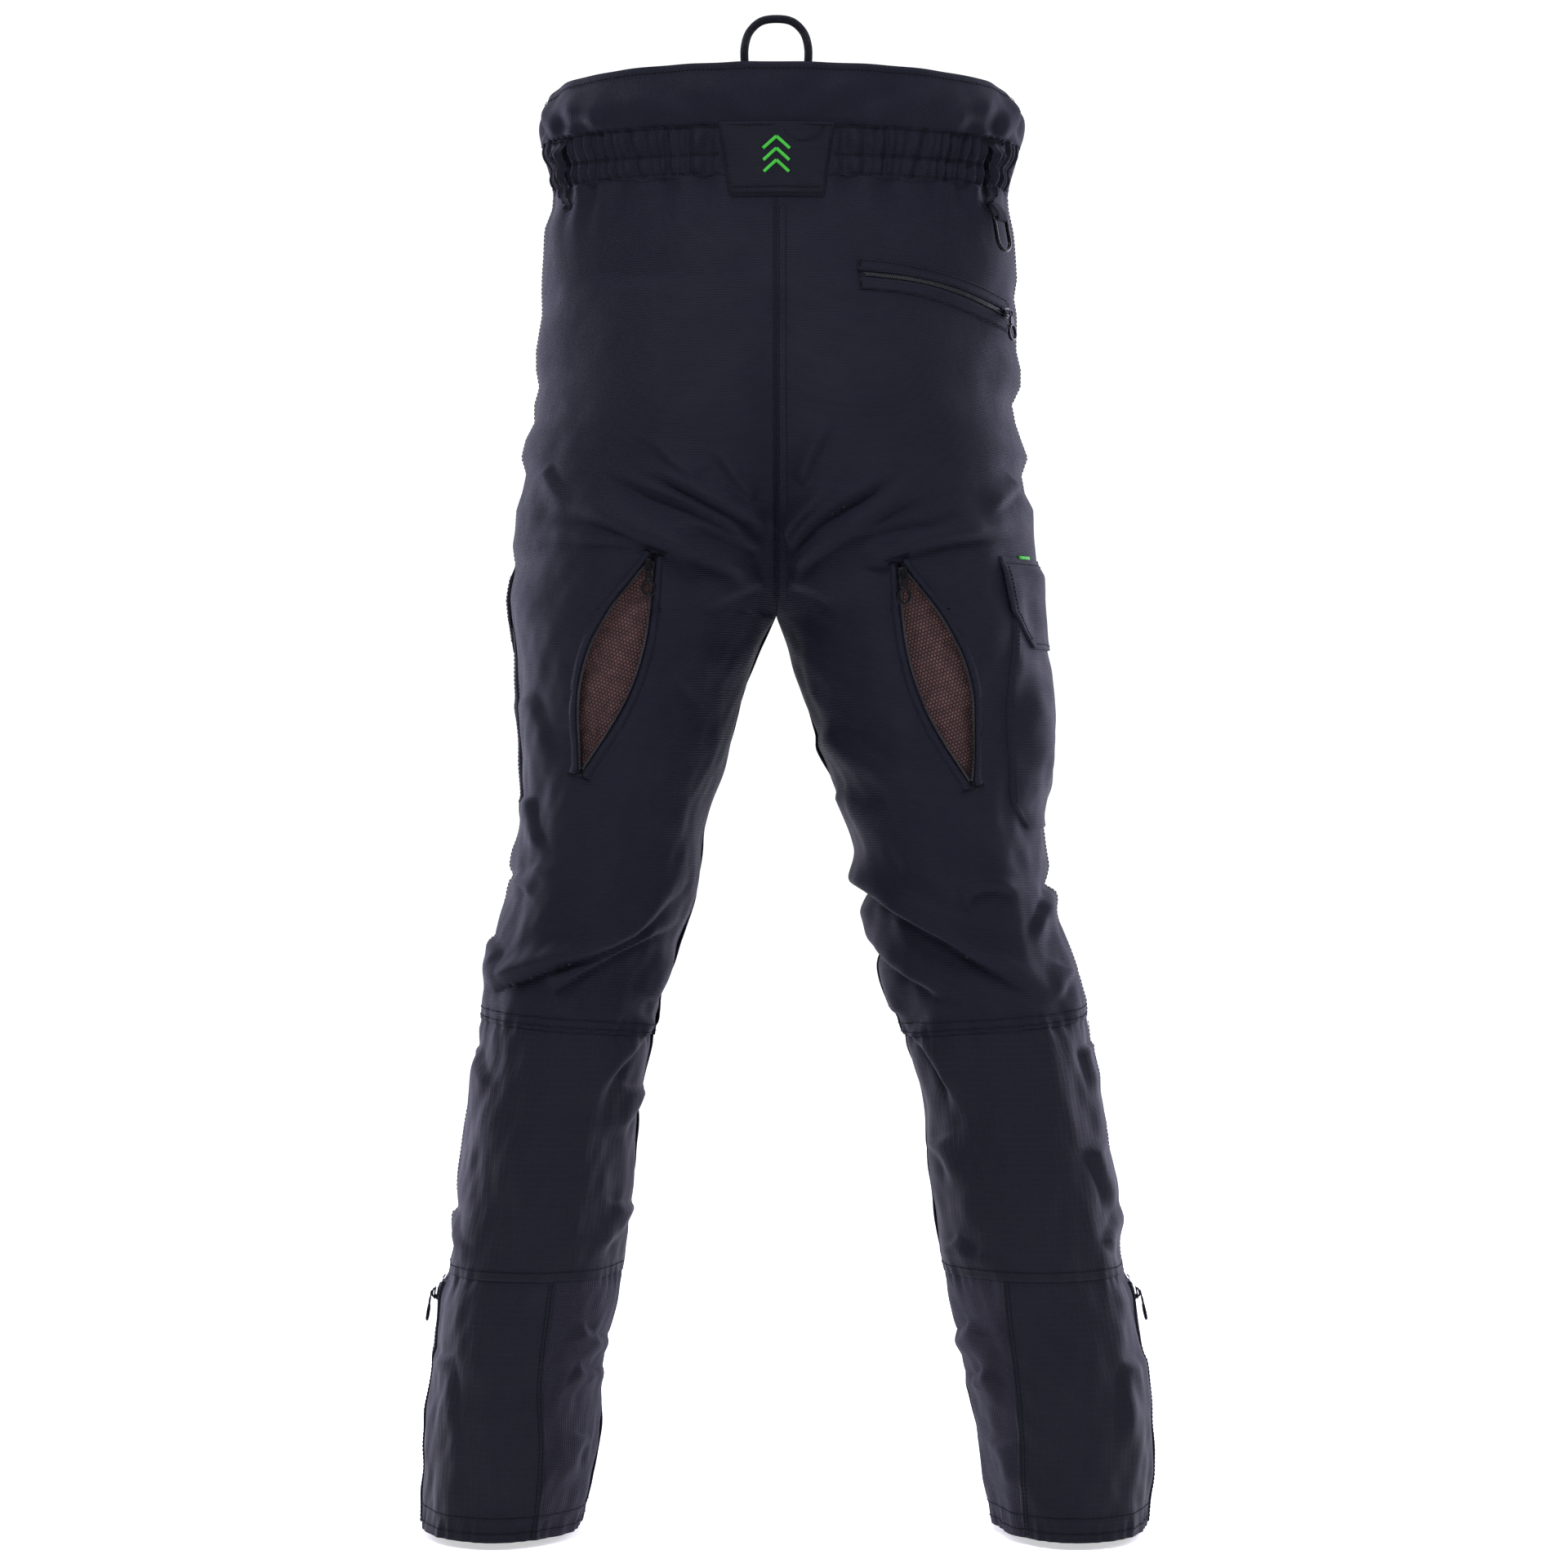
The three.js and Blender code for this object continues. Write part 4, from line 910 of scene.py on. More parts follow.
def flat_line(z):
    return lambda s: np.full(np.shape(s), float(z))


def under_top(s, t):
    return UNDER * smoothstep(t, 0.09, 0.03)


def under_side(s, t):
    return UNDER * smoothstep(s, 0.05, 0)


for side in SIDES:
    waist = flat_line(WAIST_SEAM + 1)
    below_knee = lambda s: knee_line(s) + 7
    panel(f"back_panel_{side}", side, 1, waist, knee_line, UPPER, "shell",
          cut=lambda points: in_vent(side, points, LIP * 0.45))
    panel(f"front_panel_{side}", side, -1, waist, knee_line, UPPER, "shell", under_side)
    panel(f"calf_panel_{side}", side, 1, below_knee, flat_line(CALF_HEM), RIPSTOP, "ripstop", under_top)
    panel(f"shin_panel_{side}", side, -1, below_knee, flat_line(CALF_HEM), RIPSTOP, "ripstop",
          lambda s, t: np.minimum(under_top(s, t), under_side(s, t)))


# ---------------------------------------------------------------- small repeated parts
def frames(side, line, t, lift=0.0, dt=0.002):
    """Place, direction, sideways and outward directions at each t of a line on the cloth."""
    here = surface(side, *line(t), lift)
    along = unit(surface(side, *line(t + dt), lift) - surface(side, *line(t - dt), lift))
    out = square_to(outward(side, *line(t), surface=surface, da=0.02, dz=2.0), along)
    return here, along, np.cross(out, along), out


def square_to(out, along):
    """The direction nearest to the first that is square to the second."""
    return unit(out - along * (out * along).sum(-1, keepdims=True))


def lengths(p):
    """The length along a row of points, at each of them."""
    return np.concatenate([[0], np.cumsum(np.linalg.norm(np.diff(p, axis=0), axis=1))])


def even(side, line, pitch, start=0.0, end=1.0, lift=0.0):
    """Values of t at an even pitch in mm along a line."""
    t = np.linspace(start, end, 500)
    long = lengths(surface(side, *line(t), lift))
    count = max(2, int(long[-1] / pitch))
    return np.interp((np.arange(count) + 0.5) * long[-1] / count, long, t)


def scatter(build, points, faces, place, x, y, z):
    """Copies a small shape to many places, each with its own three directions."""
    points = np.asarray(points, float)
    made = place[:, None] + points[:, 0, None] * x[:, None] + points[:, 1, None] * y[:, None] \
        + points[:, 2, None] * z[:, None]
    step = (np.arange(len(place)) * len(points))[:, None, None]
    build.add(made.reshape(-1, 3), (np.asarray(faces)[None] + step).reshape(-1, len(faces[0])),
              np.tile(points[:, :2], (len(place), 1)))


def capsule(length, radius, flat=0.75, sides=6):
    turn = np.arange(sides) / sides * math.tau
    rings = [(-0.5, 0.35), (-0.36, 0.9), (0.0, 1.0), (0.36, 0.9), (0.5, 0.35)]
    points = [(u * length, radius * r * math.cos(a), radius * r * flat * math.sin(a))
              for u, r in rings for a in turn]
    faces = [(k + i, k + (i + 1) % sides, k + sides + (i + 1) % sides, k + sides + i)
             for k in range(0, (len(rings) - 1) * sides, sides) for i in range(sides)]
    return points, faces


STITCH = capsule(2.6, 0.5)
STITCH_PITCH = 3.3
BARTACK = capsule(2.3, 0.34)
BARTACK_PITCH = 1.0


def box_shape(long, wide, high, pinch=0.7):
    a, b = long / 2, wide / 2
    corners = lambda p, q, z: [(-p, -q, z), (p, -q, z), (p, q, z), (-p, q, z)]
    points = corners(a, b * pinch, 0) + corners(a, b, high / 2) + corners(a * 0.7, b * pinch, high)
    faces = [(0, 3, 2, 1), (8, 9, 10, 11)]
    faces += [(k + i, k + (i + 1) % 4, k + (i + 1) % 4 + 4, k + i + 4) for k in (0, 4) for i in range(4)]
    return points, faces


thread = Build()


def stitch(side, line, start=0.0, end=1.0, lift=0.25, build=None):
    place, along, across, out = frames(side, line, even(side, line, STITCH_PITCH, start, end, lift), lift)
    scatter(build or thread, *STITCH, place, along, across, out)


def bartack(side, line, lift):
    """Dense stitches across a line, which hold the end of a strap or an opening."""
    place, along, across, out = frames(side, line, even(side, line, BARTACK_PITCH, 0, 1, lift), lift)
    scatter(thread, *BARTACK, place, across, along, out)


def straight(a, b):
    """A line on the cloth between two (angle, height) points."""
    return lambda t: (mix(a[0], b[0], t), mix(a[1], b[1], t))


def close_end(build, ring, hub, turn):
    """Closes a ring of points with a fan about its hub."""
    k = np.arange(len(ring))
    fan = np.stack([k, np.roll(k, -1), np.full(len(ring), len(ring))], -1)
    build.add(np.vstack([ring, hub]), fan[:, ::turn])


def sweep(build, path, section, up, closed=False):
    """Sweeps a closed section of (across, outward) points along a path with given outward directions."""
    path = np.asarray(path, float)
    along = unit(np.roll(path, -1, 0) - np.roll(path, 1, 0) if closed else np.gradient(path, axis=0))
    up = square_to(np.broadcast_to(np.asarray(up, float), path.shape), along)
    across = np.cross(up, along)
    section = np.asarray(section, float)
    rows = path[:, None] + (section[None, :, :1] * across[:, None] + section[None, :, 1:] * up[:, None])
    if closed:
        rows = np.concatenate([rows, rows[:1]])
    build.grid(rows, np.stack(np.meshgrid(np.arange(len(section)), np.arange(len(rows))), -1), wrap=True)
    if not closed:
        close_end(build, rows[0], rows[0].mean(0), 1)
        close_end(build, rows[-1], rows[-1].mean(0), -1)


def disc(radius, sides=10, flat=1.0):
    turn = np.arange(sides) / sides * math.tau
    return np.stack([radius * np.cos(turn), radius * flat * np.sin(turn)], -1)


def slab(build, outline_xy, low, high, soft, at):
    """A flat piece with rounded edges over an outline; at() puts its (x, y, z) points in place."""
    p = np.asarray(outline_xy, float)
    middle = p.mean(0)
    inset = lambda d: p - unit(p - middle) * d
    level = lambda xy, z: at(np.column_stack([xy, np.full(len(xy), z)]))
    rows = [level(inset(soft), low), level(inset(soft * 0.3), low + soft * 0.3), level(p, low + soft),
            level(p, high - soft), level(inset(soft * 0.3), high - soft * 0.3), level(inset(soft), high)]
    build.grid(np.stack(rows), np.tile(p, (len(rows), 1, 1)), wrap=True)
    close_end(build, rows[0], level(middle[None], low), 1)
    close_end(build, rows[-1], level(middle[None], high), -1)


def standing(side, angle, z, along, lift):
    """Puts points given across, along and outward in place on the plain surface, as the CAD does. Returns
    also the across and outward directions."""
    a, h = np.array([float(angle)]), np.array([float(z)])
    out = outward(side, a, h)[0]
    y = unit(along - out * (out @ along))
    x = np.cross(y, out)
    place = skin(side, a, h)[0] + out * lift
    return lambda p: place + np.asarray(p) @ np.array([x, y, out]), x, out


DOWN = np.array([0.0, 0.0, -1.0])
SLIDER_LIFT = 0.8 + 1.6 + 0.6  # the tape, half the slider and its play
PULL_LIFT = 2.6 + 0.3  # from the slider's middle to the pull
WEDGE = [(-3.1, -5.3), (3.1, -5.3), (4.0, -4.4), (4.0, 0.6), (3.4, 2.2), (2.2, 4.6), (1.4, 5.4), (-1.4, 5.4),
         (-2.2, 4.6), (-3.4, 2.2), (-4.0, 0.6), (-4.0, -4.4)]
POST = [(-0.9, 1.2), (0.9, 1.2), (1.2, 4.2), (0.5, 5.0), (-0.5, 5.0), (-1.2, 4.2)]
BAR = [(-1.5, 4.0), (1.5, 4.0), (2.3, 6.5), (2.7, 9.0), (2.2, 11.4), (-2.2, 11.4), (-2.7, 9.0), (-2.3, 6.5)]


def slider(name, side, spots, body, pull_body=None, raised=0.0):
    """A zip slider with its bridge, and its pull: a short bar with a ring."""
    lift = SLIDER_LIFT + raised
    ends = [skin(side, np.array([float(a)]), np.array([float(z)]))[0] for a, z in spots]
    at, x, out = standing(side, *spots[0], ends[1] - ends[0], lift)
    made = Build()
    slab(made, WEDGE, -2.2, -1.1, 0.35, at)
    slab(made, [(u * 0.96, v * 0.94) for u, v in WEDGE], 0.1, 1.2, 0.4, at)
    slab(made, POST, -1.3, 0.3, 0.2, at)
    turn = np.linspace(0.12, np.pi - 0.12, 12)
    bridge = np.column_stack([np.zeros(12), -3.6 * np.cos(turn), 1.0 + 1.7 * np.sin(turn)])
    sweep(made, at(bridge), disc(0.8, 8, 0.7), x)
    made.piece(f"{name}_slider_metal", BLACK_METAL, "black_metal", body, node=body)
    if not pull_body:
        return
    hang, x, out = standing(side, *spots[0], DOWN, lift + PULL_LIFT)
    pull = Build()
    loop = np.linspace(0, math.tau, 20, endpoint=False)
    eye = np.column_stack([1.9 * np.cos(loop), 1.6 + 2.6 * np.sin(loop), 0.8 + 0 * loop])
    sweep(pull, hang(eye), disc(0.62, 8), out, closed=True)
    slab(pull, BAR, 0.1, 1.8, 0.45, hang)
    wide = 4.8 + 0.8 * np.sin(loop)  # a little wider at the foot
    ring = np.column_stack([wide * np.cos(loop), 16.6 + 6.0 * np.sin(loop), 0.9 + 0 * loop])
    sweep(pull, hang(ring), disc(1.25, 10), out, closed=True)
    pull.piece(f"{name}_pull_metal", BLACK_METAL, "black_metal", pull_body, node=pull_body)


def teeth(build, side, line, lift, way, wide=2.1, high=1.3, start=0.0, end=1.0, pitch=1.55):
    """One side of a zip's chain; the side with way 1 stands half a tooth on."""
    t = even(side, line, pitch, start, end)
    t = t + (0.5 * (t[1] - t[0]) if way > 0 else 0)
    scatter(build, *box_shape(pitch * 0.66, wide, high), *frames(side, line, t, lift))


def ribbon(build, side, line_a, line_b, across, down, lift, turned=1.0):
    """A strip between two lines, each a function of t; the lift is a function of (s, t)."""
    def spot(s, t):
        a, b = line_a(t), line_b(t)
        return mix(a[0], b[0], s), mix(a[1], b[1], s)

    return build.sheet(side, spot, across, down, lift, turned)


# ---------------------------------------------------------------- leg ends and side zips
ANKLE_RADIUS = 85  # mm, about, at the outer side of the leg end


def ankle_half(z):
    share = np.clip((ANKLE_TOP - z) / (ANKLE_TOP - ANKLE_FOOT), 0, 1)
    return (1.2 + 5 * share) / ANKLE_RADIUS


for side in SIDES:
    tall = (flat_line(CALF_HEM + 7), flat_line(HEM))
    seam = lambda z: mix(*GAITER_SEAM[side], np.clip((CALF_HEM - z) / (CALF_HEM - HEM), 0, 1))
    tuck = lambda s, t: UNDER * smoothstep(t, 0.06, 0.02)
    edge = lambda z: ankle_half(z) + 2.2 / ANKLE_RADIUS
    panel(f"gaiter_back_{side}", side, 1, *tall, RIPSTOP, "ripstop", tuck, outer=edge,
          inner=lambda z: seam(z) + 0.02)
    panel(f"gaiter_stretch_{side}", side, 1, *tall, STRETCH, "stretch_knit",
          lambda s, t: np.minimum(tuck(s, t), -0.8 * smoothstep(s, 0.08, 0)), outer=lambda z: seam(z) - 0.05)
    panel(f"gaiter_front_{side}", side, -1, *tall, RIPSTOP, "ripstop", tuck, outer=lambda z: -edge(z))
    for gap in (0.02, 0.06):
        stitch(side, lambda t: (seam(mix(CALF_HEM - 2, HEM + 2, t)) - gap, mix(CALF_HEM - 2, HEM + 2, t)))
    chain, tape = Build(), Build()
    for way, word in ((1, "back"), (-1, "front")):
        beside = lambda d, z: (way * (ankle_half(z) + d / ANKLE_RADIUS), z)
        line = lambda t: beside(0, mix(ANKLE_TOP + 3, ANKLE_FOOT, t))
        off = lambda d: (lambda t: beside(d, mix(ANKLE_TOP + 5, ANKLE_FOOT - 3, t)))
        teeth(chain, side, line, 0.5, way)
        ribbon(tape, side, off(0.6), off(6.5), 3, 60, lambda s, t: 0.2 + 0.5 * s)
        ribbon(Build(), side, off(2.6), off(9.0), 4, 60, lambda s, t: 1.1 + 0.5 * np.sin(np.pi * s)
               ).piece(f"ankle_zip_edge_{side}_{word}", TRIM, "trim")
        stitch(side, off(8.0), lift=1.5)
    ribbon(Build(), side, straight((-0.16, ANKLE_TOP + 8), (-0.16, ANKLE_FOOT)),
           straight((0.16, ANKLE_TOP + 8), (0.16, ANKLE_FOOT)), 6, 40, -3.4
           ).piece(f"ankle_gusset_{side}", STRETCH, "stretch_knit")
    tape.piece(f"ankle_tape_{side}", TRIM, "trim")
    chain.piece(f"ankle_zip_{side}_teeth", ZIP_PLASTIC, "zip_teeth", smooth=False, node=f"ankle_zip_{side}")
    bartack(side, straight((-0.09, ANKLE_TOP + 8), (0.09, ANKLE_TOP + 8)), 1.6)
    slider(f"ankle_{side}", side, [(0, ANKLE_TOP - 6), (0, ANKLE_FOOT + 8)], f"ankle_slider_{side}",
           f"ankle_pull_{side}")

# ---------------------------------------------------------------- thigh vents
NET = {"half": 23, "columns": 16, "row": 2.6, "wire": 1.16, "hole": 0.74}


def net_sag(t, c):
    return -3.6 - 3.0 * np.sin(np.pi * np.clip(t, 0, 1)) * (1 - c ** 2)


def net_rings(side, t0, c0, rows):
    """The edge, the thread's crest and the hole of one cell of the netting."""
    turn = np.arange(12) / 12 * math.tau
    square = np.stack([np.clip(1.5 * np.cos(turn), -1, 1), np.clip(1.5 * np.sin(turn), -1, 1)], -1)
    hole = np.stack([np.cos(turn), np.sin(turn)], -1) * NET["hole"]
    made = []
    for shape, deep in ((square, 0.3), (hole * NET["wire"], 0.0), (hole, 0.25)):
        t = t0 + shape[:, 1] * 0.54 / rows
        across = (c0 + shape[:, 0] / NET["columns"]) * NET["half"]
        sag = net_sag(t, np.clip(across / 26, -1, 1))
        made.append(surface(side, *vent_spot(side, t, across), sag - deep))
    return np.stack(made)


for side in SIDES:
    net = Build()
    rows = int(vent_direction(side)[2] * 1.08 / NET["row"])
    for j in range(rows):
        for i in range(NET["columns"]):
            t0 = -0.04 + 1.08 * (j + 0.5) / rows
            c0 = (i + 0.5 + 0.5 * (j % 2)) / NET["columns"] * 2 - 1
            if abs(c0) * NET["half"] <= opening(t0) + 4:
                net.grid(net_rings(side, t0, c0, rows), wrap=True, flip=side == "left")
    net.piece(f"vent_netting_{side}", NETTING, "netting", node=f"vent_mesh_{side}")
    edge = lambda way: (lambda t: vent_spot(side, mix(-0.03, 1.03, t), way * (opening(t) + 5)))
    ribbon(Build(), side, edge(-1), edge(1), 12, 50,
           lambda s, t: -8.5 - 2.5 * np.sin(np.pi * t) * np.sin(np.pi * s)
           + 0.8 * waves(s * 40, t * 180, 8, 12, 40, 5), turned=0
           ).piece(f"vent_backing_{side}", NET_BACK, "netting")
    for way, word in ((1, "outer"), (-1, "inner")):
        halfway = lambda d: surface(side, *vent_spot(side, np.array([0.5]), np.array([way * d])))[0]
        shut, wide_open, hidden = (tuple(halfway(d) / 1000) for d in (0.5, 20.0, 46.0))
        beside = lambda u, d: vent_spot(side, u, way * (opening(u) + d))
        edge = lambda d, a=-0.03, b=1.03: (lambda t: beside(mix(a, b, t), d))
        chain, row = Build(), Build()
        teeth(chain, side, edge(0.4), 0.1, way, start=0.03, end=0.97)
        tape = ribbon(Build(), side, edge(0.6), edge(5.5), 3, 70, lambda s, t: -0.5 + 0.3 * s)
        facing = ribbon(Build(), side, edge(2.4), edge(LIP + 0.6), 6, 70,
                        lambda s, t: 0.7 + 1.8 * np.sin(np.pi * np.clip(s * 1.1, 0, 1)) ** 0.6 - 0.5 * s
                        + 0.18 * waves(s * 7, t * 180, 8, 9, 22, 9 + way))
        gore = ribbon(Build(), side, edge(3.0, 0.02, 0.98), edge(26, 0.02, 0.98), 12, 60, -1.7)
        stitch(side, edge(LIP - 0.9), lift=1.15, build=row)
        lip = f"vent_lip_{word}_{side}"
        for made, name, look, slot, start in (
                (chain, "teeth", ZIP_PLASTIC, "zip_teeth", shut), (tape, "tape", TRIM, "trim", shut),
                (facing, "facing", UPPER, "shell", shut), (row, "stitches", SEAM_SHADE_THREAD, "trim", shut),
                (gore, "gore", UPPER, "shell", hidden)):
            piece = made.piece(f"vent_{word}_{side}_{name}", look, slot, None, smooth=name != "teeth",
                               node=lip if name == "facing" else None)
            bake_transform(piece)
    for t in (-0.045, 1.045):
        bartack(side, lambda u: vent_spot(side, np.full(np.shape(u), t), mix(-10.0, 10.0, u)), 1.0)
    slider(f"vent_{side}", side, [vent_spot(side, t, 0.0) for t in (0.03, 0.97)], f"vent_slider_{side}",
           f"vent_pull_{side}")


# ---------------------------------------------------------------- rear pocket
def pocket_line(drop, a=0.0, b=1.0):
    (x0, z0), (x1, z1) = POCKET_ENDS

    def line(t):
        u = mix(a, b, t)
        z = mix(z0, z1, u) - POCKET_BEND * np.sin(np.pi * u) - drop
        return angle_at("right", mix(x0, x1, u), z), z

    return line


for word, way in (("upper", -1), ("lower", 1)):
    ribbon(Build(), "right", pocket_line(way * 2.4, -0.03, 1.02), pocket_line(way * 13.0, -0.03, 1.02), 6, 60,
           lambda s, t: 0.75 + 0.85 * np.sin(np.pi * np.clip(s * 1.6 + 0.1, 0, 1)) * (s < 0.6) + 0.1 * s
           ).piece(f"rear_pocket_welt_{word}_cloth", UPPER, "trim", node=f"rear_pocket_welt_{word}")
    stitch("right", pocket_line(way * 5.2, -0.01, 1.0), lift=1.3)
    stitch("right", pocket_line(way * 11.7, -0.02, 1.01), lift=0.95)
chain = Build()
for way in (1, -1):
    teeth(chain, "right", pocket_line(way * 0.7, 0.01, 0.98), 0.9, way, wide=1.9, high=1.1)
chain.piece("rear_pocket_zip_teeth", ZIP_PLASTIC, "zip_teeth", smooth=False, node="rear_pocket_zip")
ribbon(Build(), "right", pocket_line(-2.8, -0.02, 1.01), pocket_line(2.8, -0.02, 1.01), 4, 50, 0.55
       ).piece("rear_pocket_tape", TRIM, "trim")


def pocket_end(u):
    """A short upright line across an end of the pocket."""
    (x0, z0), (x1, z1) = POCKET_ENDS
    z = lambda t: mix(z0, z1, u) + mix(-11.0, 11.0, t)
    return lambda t: (angle_at("right", mix(x0, x1, u), z(t)), z(t))


bartack("right", pocket_end(-0.018), 1.4)
bartack("right", pocket_end(1.012), 1.4)
ribbon(Build(), "right", pocket_line(-8), pocket_line(150), 24, 30,
       lambda s, t: -7.0 + 0.8 * waves(s * 120, t * 150, 8, 30, 80, 8), turned=1.6
       ).piece("rear_pocket_bag_cloth", LINING, "lining", node="rear_pocket_bag")
slider("rear_pocket", "right", [pocket_line(0)(u) for u in (0.97, 0.04)], "rear_pocket_slider",
       "rear_pocket_pull", raised=1.6)


# ---------------------------------------------------------------- waist
def side_drop(angle):
    """How far the top edge dips at the side seams."""
    return 9 * np.exp(-(np.minimum(angle, np.pi - angle) / 0.22) ** 2)


def top_edge(middle, angle):
    """The height of the top edge, which is given at the side seams and in the middle."""
    return mix(YOKE_SIDE, middle, np.sin(angle)) - side_drop(angle)


def yoke_spot(s, t):
    return mix(-0.03, np.pi + 0.03, s), mix(top_edge(YOKE_TOP, np.pi * s), ELASTIC_TOP - 0.5, t)


def band_spot(s, t):
    s = np.asarray(s, float)
    return mix(0.03, -np.pi - 0.03, s), mix(top_edge(BAND_TOP, np.pi * s), WAIST_SEAM, t)


cloth("back_yoke", "right", yoke_spot, 190, 18, UPRIGHT, "shell",
      lambda s, t: 0.3 + 0.7 * smoothstep(t, 0.12, 0.0), turned=2.2)
stitch("right", lambda t: (mix(0.03, np.pi - 0.03, t), top_edge(YOKE_TOP, np.pi * t) - 5.0), lift=0.9)
stitch("right", straight((0.03, 2.6), (np.pi - 0.03, 2.6)), lift=0.6)


def patch_half(z):
    return mix(46.0, 37.5, np.clip((ELASTIC_TOP + 2 - z) / 58, 0, 1))


def elastic_spot(s, t):
    z = mix(ELASTIC_TOP, WAIST_SEAM, t)
    scallop = (1.3 - 1.2 * waves(s * 150, 0 * t, 6, 13, 30, 61)) * smoothstep(t, 0.7, 1.0)
    return mix(0.0, angle_at(side, patch_half(z) - 8, z), s), z - scallop


for side in SIDES:
    cloth(f"waist_elastic_{side}", side, elastic_spot, 150, 26, ELASTIC, "elastic_knit", 0.2)
    for z in (ELASTIC_MIDDLE + 0.9, ELASTIC_MIDDLE - 0.9, WAIST_SEAM + 2.0):
        stitch(side, straight((0.04, z), (angle_at(side, 45.0, z), z)), lift=0.25)


def patch_spot(s, t):
    z = mix(ELASTIC_TOP + 2, ELASTIC_TOP - 56, t)
    half = patch_half(z)
    return mix(angle_at("right", half, z), angle_at("right", -half, z), s), z


def patch_lift(s, t):
    rim = np.minimum(np.minimum(s, 1 - s) * 84, np.minimum(t, 1 - t) * 58)
    hem = np.exp(-((rim - 2.6) / 2.2) ** 2)
    return 0.4 + 2.6 * smoothstep(rim, -0.5, 2.2) + 0.5 * hem + 0.35 * waves(s * 84, t * 58, 8, 26, 70, 51)


def patch_line(s0, t0, s1, t1):
    return lambda u: patch_spot(mix(s0, s1, u), mix(t0, t1, u))


cloth("back_patch", "right", patch_spot, 76, 54, TRIM, "patch", patch_lift, turned=1.6)
for ends in ((0.03, 0.03, 0.97, 0.03), (0.03, 0.97, 0.97, 0.97), (0.03, 0.03, 0.035, 0.97),
             (0.97, 0.03, 0.965, 0.97), (0.05, 0.89, 0.95, 0.89)):
    stitch("right", patch_line(*ends), lift=3.5)
stitch("right", lambda u: patch_spot(0.27 + 0.17 * np.cos(np.pi * (1 - u)), 0.03 + 0.22 * np.sin(np.pi * u)),
       lift=3.5)
mark = Build()
for drop in (0.0, 0.16, 0.32):
    for s0, t0, s1, t1 in ((0.38, 0.36, 0.50, 0.20), (0.50, 0.20, 0.62, 0.36)):
        line = patch_line(s0, t0 + drop, s1, t1 + drop)
        place, along, across, out = frames("right", line, np.linspace(0, 1, 16), 3.4)
        sweep(mark, place, [(-1.3, -0.2), (1.3, -0.2), (1.1, 0.25), (-1.1, 0.25)], out)
mark.piece("patch_mark", GREEN, "patch")

cloth("front_waistband", "right", band_spot, 150, 22, UPPER, "shell",
      lambda s, t: 0.3 - 1.2 * smoothstep(s, 0.03, 0.0) - 1.2 * smoothstep(s, 0.97, 1.0), turned=2.2)
for share in (0.1, 0.93):
    stitch("right", lambda t: band_spot(mix(0.02, 0.98, t), share), lift=0.7)


def sew(build, side, on, spot, t, behind, ahead):
    """A row of stitches at each t of on(t), with the cloth's outward directions at spot(t)."""
    here, along = on(t), unit(on(t + ahead) - on(t - behind))
    out = square_to(outward(side, *spot(t)), along)
    scatter(build, *STITCH, here, along, np.cross(out, along), out)


LOOP = {"long": 56, "half": 5.25, "flare": 5.0, "radius": 130, "stand": 8}
for side in SIDES:
    for facing, angle in LOOP_ANGLES.items():
        flare = LOOP["flare"] if facing == "back" else 0.0
        width = lambda t: (LOOP["half"] + flare * smoothstep(t, 0.3, 0.02)) / LOOP["radius"]
        height = lambda t: ELASTIC_TOP - 2 - LOOP["long"] * t
        stand = lambda s, t: 0.7 + LOOP["stand"] * smoothstep(np.minimum(t, 1 - t), 0.06, 0.2)
        spot = lambda s, t: (angle + mix(-1, 1, s) * width(t), height(t))
        cloth(f"belt_loop_{facing}_{side}", side, spot, 6, 40, TRIM, "trim", stand, turned=1.5)
        for way in (-1, 1):
            line = lambda t: (angle + way * (width(t) - 1.3 / LOOP["radius"]), height(t))
            sew(thread, side, lambda t: surface(side, *line(t), stand(0, t) + 0.25), line,
                even(side, line, STITCH_PITCH, 0.02, 0.98), 0, 0.01)
        for t in (0.03, 0.97):
            bartack(side, straight((angle - width(t), height(t)), (angle + width(t), height(t))), 1.0)

# the D-ring and the tape that holds it
RING = {"half": 8.4, "long": 18.4, "wire": 1.6}
half, long = RING["half"], RING["long"]
ring_at, _, ring_out = standing("right", 0.43, ELASTIC_TOP - 66, DOWN, 6)
turn = np.linspace(0, np.pi, 24)
path = np.vstack([
    np.column_stack([np.linspace(-half, half, 10)[:-1], np.zeros(9)]),
    np.column_stack([np.full(8, half), np.linspace(0, long, 9)[:-1]]),
    np.column_stack([half * np.cos(turn), long + half * np.sin(turn)]),
    np.column_stack([np.full(7, -half), np.linspace(long, 0, 9)[1:-1]]),
])
ring = Build()
path = ring_at(np.column_stack([path, np.zeros(len(path))]))
sweep(ring, path, disc(RING["wire"], 12), ring_out, closed=True)
ring.piece("d_ring_metal", BLACK_METAL, "black_metal", "d_ring", node="d_ring")
around = np.linspace(-np.pi / 2, np.pi / 2, 10)
fold = smooth_line(np.vstack([
    [(-13, -4.6), (-7, -4.0), (-3.5, -3.2)],
    np.column_stack([2.6 * np.cos(around) - 0.1, 2.6 * np.sin(around)]),
    [(-4, 2.2), (-8, 0.2), (-13, -2.4)],
]), 0.8)
normal = unit(np.column_stack([np.gradient(fold[:, 1]), -np.gradient(fold[:, 0])]))
rows = [ring_at(np.column_stack([np.full(len(fold), x), fold + normal * way * 0.45]))
        for way in (1, -1) for x in np.linspace(-6.0, 6.0, 7) * way]
tab = Build()
uv = np.stack(np.meshgrid(np.arange(14.0) * 2, np.arange(float(len(fold)))), -1)
tab.grid(np.stack(rows, 1), uv, wrap=True)
tab.piece("d_ring_tab_tape", TRIM, "trim", node="d_ring_tab")

